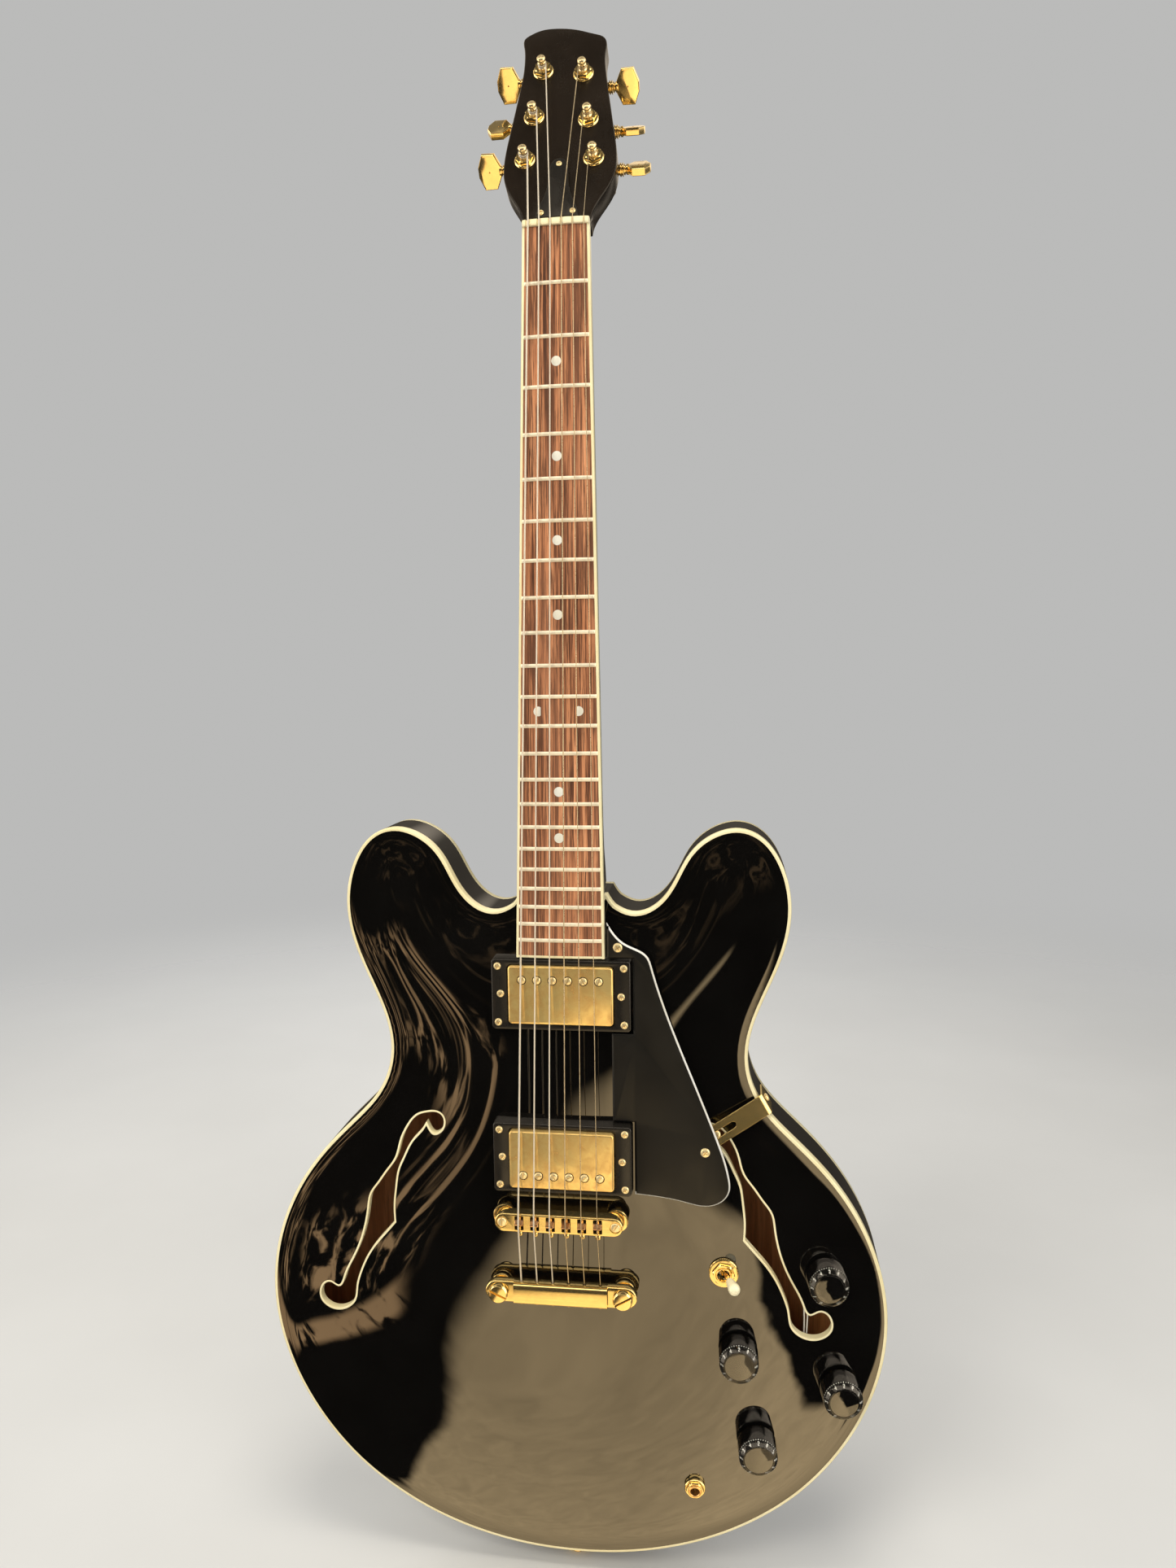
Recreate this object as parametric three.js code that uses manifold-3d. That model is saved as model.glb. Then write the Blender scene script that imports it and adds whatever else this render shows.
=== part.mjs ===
// Semi-hollow electric guitar: arched double-cutaway body, set neck, two
// humbucking pickups, bridge on two posts and stop tailpiece.
// Millimetres. +Z runs from the end strap button towards the headstock,
// the front of the body faces -Y, +X is the treble side (knobs, pickguard).
// The origin is the middle of the outer face of the end strap button.
import * as THREE from 'three';
import { mergeVertices } from 'three/addons/utils/BufferGeometryUtils.js';
import Module from 'manifold-3d';

const wasm = await Module();
wasm.setup();

// ---- driving dimensions ----
const GAP = 0.3;               // clearance between neighbouring pieces
const SCALE = 628.65;          // nut to theoretical bridge line (24.75 in)
const LINE_Z = 275;            // height of the theoretical bridge line
const RIM = 22;                // half of the rim depth (rim planes at y = -22, +22)
const ARCH_FRONT = 13.5;       // rise of the front arch over its rim plane
const ARCH_BACK = 11;          // rise of the back arch
const BIND_T = 2.2;            // binding thickness seen from the front
const BIND_D = 6.5;            // binding depth along the rim
const NECK_TILT = THREE.MathUtils.degToRad(3.7);
const HEAD_TILT = THREE.MathUtils.degToRad(17);   // headstock, relative to the neck
const HEAD_T = 15;             // headstock thickness
const BOARD_RISE = 27.4;       // fretboard plane over the front rim plane at the bridge line
const BOARD_T = 6;             // fretboard thickness
const STRING_RADII = [0.6, 0.5, 0.42, 0.34, 0.27, 0.22];   // bass to treble
const BRIDGE_SETBACK = 8.5;    // bridge centre below the theoretical line
const BRIDGE_Z = LINE_Z - BRIDGE_SETBACK;
const TAIL_Z = LINE_Z - 59;
const BRIDGE_X = -2;           // bridge and tailpiece sit a little to the bass side
const POST_X = 37.2;           // bridge posts, either side of BRIDGE_X
const POST_R = 4.2;
const STUD_X = 41.2;           // tailpiece studs, either side of BRIDGE_X
const STUD_R = 5.2;
const NECK_PICKUP_Z = LINE_Z + 140.2;
const BRIDGE_PICKUP_Z = LINE_Z + 32.4;
const FAR_FRONT = -80;         // where cutters start, clear of the front

// Outlines: [x, z from the bridge line]
const HALF_BODY = [   // treble half, from the bottom centre to the neck
  [0, -261.9], [36, -259.6], [71.5, -251.8], [104.5, -238.9], [136.5, -219.6], [164.5, -194.3],
  [187.2, -163.2], [202.5, -130.5], [210.3, -94.5], [209.7, -62], [201, -29], [185.1, 2.3],
  [165, 27.6], [144, 48.6], [126.8, 69.5], [119.9, 95], [122.5, 115.5], [130.8, 137],
  [141, 161.3], [147, 184], [147, 204.5], [142.6, 221.8], [136.2, 233.9], [126.3, 243.4],
  [113.3, 247.2], [100.5, 244.4], [89.2, 237.6], [80.6, 227.7], [71.5, 210.2], [59.1, 195.1],
  [46.9, 190.7], [37.2, 193.6], [29, 203.6]];
const F_HOLE = [      // treble side
  [91.4, 55.7], [102.5, 51.5], [111, 40.5], [117.7, 21.3], [127, 8], [136, -5], [138.5, -21],
  [144.5, -40.2], [153, -58], [160.4, -71.6], [165.5, -69.6], [171.6, -71.4], [175, -77.6],
  [174.6, -83.7], [169.6, -88.7], [162.2, -90.2], [153, -87], [147.4, -80.7], [144.5, -66],
  [137.6, -49.5], [128, -35.5], [116.7, -22.7], [116.9, -4], [113.7, 14.2], [105, 32],
  [94.8, 44.9], [89.3, 38.9], [84.9, 40.5], [81, 47.1], [83, 54]];
const GUARD = [
  [30.4, 188.5], [41.5, 175.2], [56.5, 166.5], [59.2, 159.5], [82.5, 93.5], [99.5, 50],
  [108, 21.5], [108.3, 14], [104, 6.5], [94, 2.3], [78, 4.6], [47, 8.4], [47, 57], [33, 57],
  [33, 115.5], [47, 115.5], [47, 165], [30.4, 165]];
// Headstock outlines: [x, distance up the face from the nut]
const HEAD = [
  [21.4, 0], [22.5, 6], [27, 16], [33, 27], [36.4, 38], [36.9, 46], [36.2, 58], [34, 74],
  [31.7, 90], [29.4, 106], [27.6, 121], [27.3, 135], [27.6, 143], [26, 146.5], [19, 150.3],
  [10, 154], [1, 156.5], [-8, 157.6], [-17, 157], [-24, 154], [-28.2, 150.5], [-28, 143],
  [-27.3, 135], [-27.6, 121], [-29.4, 106], [-31.7, 90], [-34, 74], [-36.2, 58], [-36.9, 46],
  [-36.4, 38], [-33, 27], [-27, 16], [-22.5, 6], [-21.4, 0]];
const ROD_COVER = [
  [-13.5, 3.2], [13.5, 3.2], [13, 8], [9.5, 17], [7, 27], [6.2, 38], [5.2, 44], [2.5, 47.5],
  [-2.5, 47.5], [-5.2, 44], [-6.2, 38], [-7, 27], [-9.5, 17], [-13, 8]];

// Controls: x, z from the bridge line, and the axis pointing out of the top
const KNOBS = [
  { name: 'upper_outer', x: 169.6, z: -45, axis: [0.10, -1, 0.01] },
  { name: 'upper_inner', x: 113.5, z: -96.5, axis: [0.037, -1, -0.018] },
  { name: 'lower_inner', x: 125.6, z: -162, axis: [0.063, -1, -0.064] },
  { name: 'lower_outer', x: 179.2, z: -121.8, axis: [0.11, -1, -0.035] }];
const SWITCH = { x: 104.2, z: -43.7 };
const JACK = { x: 84.7, z: -199.5, axis: [0.03, -1, -0.085] };
// Tuners in string order: post position on the headstock face (x, s up from
// the nut) and the button's turn about its shaft, degrees from the face
const TUNERS = [
  { name: 'bass_1', x: -23, s: 50.5, turn: 60 },
  { name: 'bass_2', x: -18.5, s: 84.5, turn: -23 },
  { name: 'bass_3', x: -14, s: 121.5, turn: 56 },
  { name: 'treble_3', x: 13, s: 117, turn: 56 },
  { name: 'treble_2', x: 17.5, s: 79.5, turn: -41 },
  { name: 'treble_1', x: 22, s: 48.5, turn: -34 }];

// ---- geometry helpers ----
const range = count => [...Array(count).keys()];

// welded mesh without degenerate triangles, wound outwards
function weld(positions, indices) {
  let geometry = new THREE.BufferGeometry();
  geometry.setAttribute('position', new THREE.Float32BufferAttribute(positions, 3));
  geometry.setIndex(indices);
  geometry = mergeVertices(geometry, 1e-4);
  const index = geometry.index.array, kept = [];
  const vertex = i => new THREE.Vector3().fromBufferAttribute(geometry.attributes.position, i);
  let volume = 0;
  for (let i = 0; i < index.length; i += 3) {
    const [a, b, c] = index.slice(i, i + 3);
    if (a === b || b === c || a === c) continue;
    kept.push(a, b, c);
    volume += vertex(a).dot(vertex(b).cross(vertex(c)));
  }
  if (volume < 0) {
    for (let i = 0; i < kept.length; i += 3) {
      [kept[i + 1], kept[i + 2]] = [kept[i + 2], kept[i + 1]];
    }
  }
  geometry.setIndex(kept);
  return geometry;
}
function welded(geometry) {
  geometry.deleteAttribute('normal');
  geometry.deleteAttribute('uv');
  const { position } = geometry.attributes;
  const indices = geometry.index ? Array.from(geometry.index.array) : range(position.count);
  return weld(Array.from(position.array), indices);
}
function toManifold(part) {
  if (!part.isBufferGeometry) return part;
  return new wasm.Manifold(new wasm.Mesh({
    numProp: 3,
    vertProperties: new Float32Array(part.attributes.position.array),
    triVerts: new Uint32Array(part.index.array) }));
}
function toGeometry(part) {
  if (part.isBufferGeometry) return part;
  const mesh = part.getMesh();
  return weld(Array.from(mesh.vertProperties), Array.from(mesh.triVerts));
}
const union = (...parts) => parts.map(toManifold).reduce((sum, part) => sum.add(part));
const cut = (...parts) => parts.map(toManifold).reduce((rest, part) => rest.subtract(part));

function extrude(points, depth, holes = []) {
  const vectors = list => list.map(([u, v]) => new THREE.Vector2(u, v));
  const shape = new THREE.Shape(vectors(points));
  for (const hole of holes) shape.holes.push(new THREE.Path(vectors(hole)));
  return new THREE.ExtrudeGeometry(shape, { depth, bevelEnabled: false, steps: 1 });
}
// outline in (x, z) pushed from y0 to y1
function prism(points, y0, y1, holes) {
  const geometry = extrude(points, y1 - y0, holes);
  geometry.rotateX(Math.PI / 2);
  geometry.translate(0, y1, 0);
  return welded(geometry);
}
function box(x0, x1, y0, y1, z0, z1) {
  const geometry = new THREE.BoxGeometry(x1 - x0, y1 - y0, z1 - z0);
  geometry.translate((x0 + x1) / 2, (y0 + y1) / 2, (z0 + z1) / 2);
  return welded(geometry);
}
// geometry with every vertex moved to place(x, y, z)
function remapped(geometry, place) {
  const p = geometry.attributes.position;
  for (let i = 0; i < p.count; i++) p.setXYZ(i, ...place(p.getX(i), p.getY(i), p.getZ(i)));
  return welded(geometry);
}
const FRONTWARD = [0, -1, 0], BACKWARD = [0, 1, 0];
// turned piece: profile [[radius, height]...] along a direction from a point
function turned(profile, segments, point, direction) {
  const vectors = profile.map(([radius, height]) => new THREE.Vector2(radius, height));
  const geometry = new THREE.LatheGeometry(vectors, segments);
  geometry.applyQuaternion(new THREE.Quaternion().setFromUnitVectors(
    new THREE.Vector3(0, 1, 0), new THREE.Vector3(...direction).normalize()));
  geometry.translate(...point);
  return welded(geometry);
}
const rod = (radius, h0, h1, segments, point, direction) =>
  turned([[0, h0], [radius, h0], [radius, h1], [0, h1]], segments, point, direction);
const rodY = (radius, y0, y1, segments, x, z) =>
  rod(radius, y0, y1, segments, [x, 0, z], BACKWARD);
// rings of equal point count joined in order and closed at both ends
function loft(rings) {
  const positions = rings.flat(2), indices = [], n = rings[0].length;
  for (let k = 0; k < rings.length - 1; k++) {
    for (let i = 0; i < n; i++) {
      const a = k * n + i, b = k * n + (i + 1) % n;
      indices.push(a, b, b + n, a, b + n, a + n);
    }
  }
  for (const k of [0, rings.length - 1]) {
    const centre = rings[k].reduce((sum, p) => sum.map((v, i) => v + p[i] / n), [0, 0, 0]);
    const hub = positions.length / 3;
    positions.push(...centre);
    for (let i = 0; i < n; i++) {
      const a = k * n + i, b = k * n + (i + 1) % n;
      indices.push(...(k ? [a, b, hub] : [b, a, hub]));
    }
  }
  return weld(positions, indices);
}
// round wire through a list of points
function wire(points, radius, sides) {
  const path = points.map(p => new THREE.Vector3(...p));
  return loft(path.map((point, i) => {
    const tangent = new THREE.Vector3();
    if (i > 0) tangent.add(point.clone().sub(path[i - 1]).normalize());
    if (i < path.length - 1) tangent.add(path[i + 1].clone().sub(point).normalize());
    tangent.normalize();
    const across = new THREE.Vector3(1, 0, 0).addScaledVector(tangent, -tangent.x).normalize();
    const normal = tangent.clone().cross(across);
    return range(sides).map(k => {
      const angle = (k + 0.5) / sides * 2 * Math.PI;
      return point.clone().addScaledVector(across, radius * Math.cos(angle))
        .addScaledVector(normal, radius * Math.sin(angle)).toArray();
    });
  }));
}
// block between z0 and z1 whose front and back y are functions of z
const wedge = (halfWidth, z0, z1, frontAt, backAt) => loft([z0, z1].map(z => [
  [-halfWidth, frontAt(z), z], [halfWidth, frontAt(z), z],
  [halfWidth, backAt(z), z], [-halfWidth, backAt(z), z]]));

// ---- materials and meshes ----
const LOOKS = {
  black: { color: 0x0b0b0c, roughness: 0.12, metalness: 0 },
  cream: { color: 0xe9dfb4, roughness: 0.4, metalness: 0 },
  rosewood: { color: 0x6a3b25, roughness: 0.5, metalness: 0 },
  gold: { color: 0xd8a848, roughness: 0.25, metalness: 1 },
  nickel: { color: 0xb9b6ae, roughness: 0.35, metalness: 1 },
  plastic: { color: 0x101011, roughness: 0.3, metalness: 0 },
  steel: { color: 0xc9c9c6, roughness: 0.3, metalness: 1 },
  tip: { color: 0xeee3bd, roughness: 0.35, metalness: 0 } };
const group = new THREE.Group();
function add(name, part, look) {
  const geometry = toGeometry(part);
  geometry.computeVertexNormals();
  const mesh = new THREE.Mesh(geometry, new THREE.MeshStandardMaterial(LOOKS[look]));
  mesh.name = name;
  group.add(mesh);
}

// ---- body outline and arch ----
const ARCH_RUN = 110;          // distance from the edge over which the arch rises
const ARCH_FLAT = 4;           // flat margin next to the binding
const ARCH_POWER = 1.9;
const DOME_RINGS = [0.4, 0.68, 0.88, 1];   // mesh rings, as fractions of the outline
const DOME_Z = LINE_Z - 20;    // centre of those rings
const fromLine = points => points.map(([x, z]) => [x, LINE_Z + z]);
const mirrored = points => points.map(([x, z]) => [-x, z]);
const outline = fromLine([...HALF_BODY, ...mirrored(HALF_BODY.slice(1).reverse())]);
const END_Z = LINE_Z + HALF_BODY.at(-1)[1];   // end face of the body at the neck
const BASE_Z = LINE_Z + HALF_BODY[0][1];      // lowest point of the body

// counter-clockwise loop moved inwards
function inset(loop, distance) {
  const n = loop.length;
  const inward = (from, to) => {
    const dx = to[0] - from[0], dz = to[1] - from[1], length = Math.hypot(dx, dz);
    return [-dz / length, dx / length];
  };
  return loop.map((point, i) => {
    const before = inward(loop[(i + n - 1) % n], point);
    const after = inward(point, loop[(i + 1) % n]);
    const x = before[0] + after[0], z = before[1] + after[1];
    const k = 2 * distance / (x * x + z * z);
    return [point[0] + x * k, point[1] + z * k];
  });
}
function edgeDistance(x, z) {
  return Math.min(...outline.map(([ax, az], i) => {
    const [bx, bz] = outline[(i + 1) % outline.length];
    const ex = bx - ax, ez = bz - az;
    const along = ((x - ax) * ex + (z - az) * ez) / (ex * ex + ez * ez);
    const t = Math.min(1, Math.max(0, along));
    return Math.hypot(x - ax - ex * t, z - az - ez * t);
  }));
}
// share of the full arch height, 0 at the edge to 1
function archShare(x, z) {
  const t = Math.min(1, Math.max(0, (edgeDistance(x, z) - ARCH_FLAT) / ARCH_RUN));
  return 1 - Math.pow(1 - t, ARCH_POWER);
}
const frontY = (x, z) => -RIM - ARCH_FRONT * archShare(x, z);
const backY = (x, z) => RIM + ARCH_BACK * archShare(x, z);
const onTop = ({ x, z }) => [x, frontY(x, LINE_Z + z), LINE_Z + z];

// solid between two arched faces given as y(x, z)
function domed(loop, frontAt, backAt) {
  const positions = [], indices = [], n = loop.length, rings = DOME_RINGS.length;
  for (const heightAt of [frontAt, backAt]) {
    positions.push(0, heightAt(0, DOME_Z), DOME_Z);
    for (const share of DOME_RINGS) {
      for (const [px, pz] of loop) {
        const x = px * share, z = DOME_Z + (pz - DOME_Z) * share;
        positions.push(x, heightAt(x, z), z);
      }
    }
  }
  const faceSize = 1 + n * rings;
  for (const start of [0, faceSize]) {
    const triangle = (a, b, c) =>
      indices.push(start + a, ...(start ? [start + c, start + b] : [start + b, start + c]));
    for (let i = 0; i < n; i++) {
      const j = (i + 1) % n;
      triangle(0, 1 + i, 1 + j);
      for (let k = 0; k < rings - 1; k++) {
        const a = 1 + k * n + i, b = 1 + k * n + j;
        triangle(a, a + n, b + n);
        triangle(a, b + n, b);
      }
    }
  }
  for (let i = 0; i < n; i++) {
    const a = 1 + (rings - 1) * n + i, b = 1 + (rings - 1) * n + (i + 1) % n;
    indices.push(a, a + faceSize, b + faceSize, a, b + faceSize, b);
  }
  return weld(positions, indices);
}

// ---- neck and headstock frames ----
const tiltAxes = angle => ({
  up: [0, Math.sin(angle), Math.cos(angle)],
  back: [0, Math.cos(angle), -Math.sin(angle)] });
const neckAxes = tiltAxes(NECK_TILT), headAxes = tiltAxes(NECK_TILT + HEAD_TILT);
// s from the nut towards the body, depth behind the board plane
const neckPoint = (x, s, depth) => [
  x,
  -RIM - BOARD_RISE + (SCALE - s) * neckAxes.up[1] + depth * neckAxes.back[1],
  LINE_Z + (SCALE - s) * neckAxes.up[2] + depth * neckAxes.back[2]];
const neckSection = (s, points) => points.map(([x, depth]) => neckPoint(x, s, depth));
const HEAD_ORIGIN = neckPoint(0, -4, BOARD_T);
// s up the headstock face, depth behind the face
const headPoint = (x, s, depth) => [
  x,
  HEAD_ORIGIN[1] + s * headAxes.up[1] + depth * headAxes.back[1],
  HEAD_ORIGIN[2] + s * headAxes.up[2] + depth * headAxes.back[2]];
const headPrism = (points, depth0, depth1) =>
  remapped(prism(points, 0, depth1 - depth0), (x, y, z) => headPoint(x, z, depth0 + y));

const FRETS = 22;
const NUT_W = 43, BOARD_END_W = 57.4;   // board width at the nut and at the last fret
const fretS = fret => SCALE * (1 - Math.pow(2, -fret / 12));
const boardHalfWidth = s => (NUT_W + (BOARD_END_W - NUT_W) * s / fretS(FRETS)) / 2;
// y just behind the fretboard's underside
const underBoardY = z =>
  -RIM - BOARD_RISE + (z - LINE_Z) * Math.tan(NECK_TILT) + BOARD_T + GAP;
const TENON_Z = LINE_Z + 166;  // lower end of the neck tenon
const TENON_BACK = 4;
const tenon = clearance => wedge(24 + clearance, TENON_Z - clearance, END_Z + 4,
  z => underBoardY(z) - clearance * 20, () => TENON_BACK + clearance);

// ---- body ----
const PLATE = 5;               // thickness of the carved plates
const SIDE_T = 8;              // rim wall with lining
const BLOCK_X = 50;            // half width of the centre block
const pickupCavity = (zc, clearance, back) => {
  const x = 37.5 + clearance, z = 20.5 + clearance;
  return box(-x, x, FAR_FRONT, back, zc - z, zc + z);
};
const postHoles = [-1, 1].flatMap(side => [
  rodY(POST_R + GAP, FAR_FRONT, 80, 10, BRIDGE_X + side * POST_X, BRIDGE_Z),
  rodY(STUD_R + GAP, FAR_FRONT, 80, 10, BRIDGE_X + side * STUD_X, TAIL_Z)]);
const controlHole = ({ x, z }, radius, segments) =>
  rodY(radius, FAR_FRONT, 0, segments, x, LINE_Z + z);
const controlHoles = [
  ...KNOBS.map(knob => controlHole(knob, 4.6, 12)),
  controlHole(SWITCH, 6.4, 16),
  controlHole(JACK, 6.3, 16)];

const plateEdge = inset(outline, BIND_T + GAP);
const topBlank = domed(plateEdge, frontY, (x, z) => frontY(x, z) + PLATE);
const backBlank = domed(plateEdge, (x, z) => backY(x, z) - PLATE, backY);
const band = (y0, y1) => prism(outline, y0, y1, [inset(outline, BIND_T)]);

const bodyTop = () => cut(topBlank,
  prism(fromLine(F_HOLE), FAR_FRONT, 0),
  prism(fromLine(mirrored(F_HOLE)), FAR_FRONT, 0),
  pickupCavity(NECK_PICKUP_Z, 0, 0),
  pickupCavity(BRIDGE_PICKUP_Z, 0, 0),
  tenon(GAP), ...postHoles, ...controlHoles);

// rim walls and centre block in one
function bodyFrame() {
  const blank = domed(plateEdge, (x, z) => frontY(x, z) + PLATE + GAP,
    (x, z) => backY(x, z) - PLATE - GAP);
  const wallInside = [inset(outline, SIDE_T)];
  const betweenBindings = RIM - BIND_D - GAP;
  const outerWall = prism(outline, -betweenBindings, betweenBindings, wallInside);
  const innerWall = prism(plateEdge, -60, 60, wallInside);
  const block = box(-BLOCK_X, BLOCK_X, -60, 60, BASE_Z + 4, END_Z - 3);
  const core = toManifold(blank).intersect(union(innerWall, block));
  const screwHole = rod(2, -30, 30, 10, [0, 0, BASE_Z], [0, 0, 1]);
  return cut(union(core, outerWall),
    pickupCavity(NECK_PICKUP_Z, GAP, 8),
    pickupCavity(BRIDGE_PICKUP_Z, GAP, 8),
    tenon(GAP), ...postHoles, screwHole);
}
add('body_top', bodyTop(), 'black');
add('body_back', backBlank, 'black');
add('body_frame', bodyFrame(), 'black');
add('top_binding', cut(band(-RIM, -RIM + BIND_D), tenon(GAP)), 'cream');
add('back_binding', band(RIM - BIND_D, RIM), 'cream');

// ---- neck ----
const HEEL_Y = 17.8;           // flat back of the heel
const SLEEVE_R = 5.2;          // room for a tuner sleeve through the headstock
// shaft stations: s, depth of the back, side power (lower is squarer)
const SHAFT = [
  [-6, 20.5, 0.8], [4, 20.5, 0.8], [36, 20.8, 0.8], [200, 21.8, 0.8], [320, 23.2, 0.8],
  [368, 24.6, 0.75], [388, 28, 0.6], [398, 35, 0.5], [406, 43.5, 0.45], [412, 48.5, 0.4],
  [432, 49.8, 0.4]];

function shaftSection([s, depth, power]) {
  const halfWidth = boardHalfWidth(Math.max(s, 0)), front = BOARD_T + GAP, steps = 8;
  return neckSection(s, range(steps + 1).map(i => {
    const angle = Math.PI * i / steps, c = Math.cos(angle);
    return [halfWidth * Math.sign(c) * Math.pow(Math.abs(c), power),
      front + (depth - front) * Math.pow(Math.sin(angle), 0.75)];
  }));
}
function neck() {
  const shaft = cut(loft(SHAFT.map(shaftSection)),
    box(-60, 60, -90, 90, LINE_Z - 50, END_Z + GAP));
  // filler between the board and the arched top
  const tongue = cut(
    wedge(27.4, TENON_Z + 0.5, END_Z + 2, underBoardY, () => -RIM - 0.5),
    topBlank.clone().translate(0, -GAP - 0.1, 0), topBlank,
    band(-RIM - 0.4, -RIM + 20));
  const fittedTenon = cut(tenon(0),
    box(-60, 60, -90, 90, END_Z + 3, END_Z + 50),
    wedge(60, LINE_Z + 100, LINE_Z + 260, () => -120, underBoardY));
  return cut(union(shaft, tongue, fittedTenon, headPrism(HEAD, 0, HEAD_T)),
    ...TUNERS.map(({ x, s }) =>
      rod(SLEEVE_R + GAP, -10, 30, 10, headPoint(x, s, 0), headAxes.back)),
    box(-30, 30, HEEL_Y, 60, END_Z - 5, END_Z + 40));
}
add('neck', neck(), 'black');

// cambered fretboard with its frets
const CAMBER_R = 305;
const camber = x => x * x / (2 * CAMBER_R);
const camberedSection = (halfWidth, bottom, height, steps) => [
  [-halfWidth, bottom], [halfWidth, bottom],
  ...range(steps + 1).map(i => {
    const x = halfWidth - 2 * halfWidth * i / steps;
    return [x, camber(x) - height];
  })];
function fret(number) {
  const s = fretS(number);
  const section = camberedSection(boardHalfWidth(s) - 0.8, 1.6, 1.1, 2);
  return loft([neckSection(s - 1, section), neckSection(s + 1, section)]);
}
function fretboard() {
  const board = loft([0, fretS(FRETS) + 11.6].map(s =>
    neckSection(s, camberedSection(boardHalfWidth(s), BOARD_T, 0, 4))));
  return union(board, ...range(FRETS).map(i => fret(i + 1)));
}
add('fretboard', fretboard(), 'rosewood');

// [s, height over the board plane] at the two faces of the nut
add('nut', loft([[-4, 1], [-GAP, 1.3]].map(([s, height]) => neckSection(s,
  [[-21.3, BOARD_T], [21.3, BOARD_T], [21.3, -height], [-21.3, -height]]))), 'cream');
add('truss_rod_cover', headPrism(ROD_COVER, -2.3, -GAP), 'plastic');

// ---- tuners ----
const STRING_HOLE = 6.3;       // string height on the post, over the headstock face
const headOut = headAxes.back.map(v => -v);
const SHAFT_DEPTH = HEAD_T + 3.5;   // button shaft axis behind the face
const sideOf = tuner => Math.sign(tuner.x);
const shaftOffset = tuner => (tuner.x < 0 ? 11.5 : 7);   // button shaft past the post
const onShaft = (tuner, profile) => turned(profile, 8,
  headPoint(tuner.x, tuner.s + shaftOffset(tuner), SHAFT_DEPTH), [sideOf(tuner), 0, 0]);
const shaftRod = (tuner, radius, h0, h1) =>
  onShaft(tuner, [[0, h0], [radius, h0], [radius, h1], [0, h1]]);

function tunerHousing(tuner) {
  const { x, s } = tuner, foot = headPoint(x, s, 0);
  const sleeve = turned([[3.5, -HEAD_T - 1], [5, -HEAD_T - 1], [5, GAP], [6.8, GAP], [6.8, 1.2],
    [5.4, 1.4], [4.8, 3.8], [3.5, 3.8], [3.5, -HEAD_T - 1]], 10, foot, headOut);
  const end = shaftOffset(tuner) + 5;
  // case outline from the post: outwards, up the face
  const caseOutline = [[12.5, -8], [12.5, end], [-5, end], [-8, end - 3], [-8, -4], [-4, -8]];
  const gearCase = loft([HEAD_T + GAP, HEAD_T + 11.5].map(depth =>
    caseOutline.map(([outward, up]) => headPoint(x + sideOf(tuner) * outward, s + up, depth))));
  const collar = onShaft(tuner, [[0, 11], [3.1, 11], [3.1, 15.1], [4, 15.1], [4, 17.2], [0, 17.2]]);
  return cut(union(sleeve, gearCase, collar),
    rod(3.5, -HEAD_T - 5.5, 10, 10, foot, headOut),
    shaftRod(tuner, 2.4, -4.5, 40));
}
function tunerPost({ x, s }) {
  const post = turned([[0, -HEAD_T - 5], [3, -HEAD_T - 5], [3, 4.5], [2.2, 5.1], [2.2, 7.5],
    [3, 8.5], [2.9, 10.3], [0, 11.2]], 10, headPoint(x, s, 0), headOut);
  return cut(post, rod(0.9, -6, 6, 6, headPoint(x, s, -STRING_HOLE), [1, 0, 0]));
}
// button wing stations: distance out from the post, half width, half thickness
const WING = [[19.7, 3.2, 1.6], [23.6, 10.4, 2.3], [32, 10.6, 2.3], [35.2, 3.4, 1.6]];
function tunerButton(tuner) {
  const angle = tuner.turn * Math.PI / 180, c = Math.cos(angle), sn = Math.sin(angle);
  const s = tuner.s + shaftOffset(tuner);
  const wing = loft(WING.map(([out, w, t]) => [
    [-w, -t * 0.55], [-w * 0.75, -t], [w * 0.75, -t], [w, -t * 0.55],
    [w, t * 0.55], [w * 0.75, t], [-w * 0.75, t], [-w, t * 0.55]].map(([u, v]) =>
    headPoint(tuner.x + sideOf(tuner) * out, s + u * c + v * sn, SHAFT_DEPTH - u * sn + v * c))));
  return union(wing, shaftRod(tuner, 1.9, -4, 24), shaftRod(tuner, 3.2, 17.5, 20.8));
}
for (const tuner of TUNERS) {
  add('tuner_housing_' + tuner.name, tunerHousing(tuner), 'gold');
  add('tuner_post_' + tuner.name, tunerPost(tuner), 'nickel');
  add('tuner_button_' + tuner.name, tunerButton(tuner), 'gold');
}

// ---- pickups ----
const chamferedRect = (w, h, c, zc) => [
  [-w, c - h], [c - w, -h], [w - c, -h], [w, c - h],
  [w, h - c], [w - c, h], [c - w, h], [-w, h - c]].map(([x, z]) => [x, zc + z]);
const RING_BACK = -RIM - ARCH_FRONT - GAP;
const pickupRing = (zc, height) => prism(chamferedRect(45.7, 23.6, 2, zc),
  RING_BACK - height, RING_BACK, [chamferedRect(34.9, 19.9, 2, zc)]);
function pickup(zc, front, poleOffset) {
  const cover = prism(chamferedRect(34.4, 19.4, 2.4, zc), front, front + 15);
  const poles = range(6).map(i =>
    rod(2.4, -1, 0.9, 8, [(i - 2.5) * 10.05, front, zc + poleOffset], FRONTWARD));
  return union(cover, ...poles);
}
add('pickup_ring_neck', pickupRing(NECK_PICKUP_Z, 3.2), 'plastic');
add('pickup_ring_bridge', pickupRing(BRIDGE_PICKUP_Z, 8.4), 'plastic');
add('pickup_neck', pickup(NECK_PICKUP_Z, -RIM - 18.6, 10), 'gold');
add('pickup_bridge', pickup(BRIDGE_PICKUP_Z, -RIM - 25.6, -10.3), 'gold');

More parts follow.
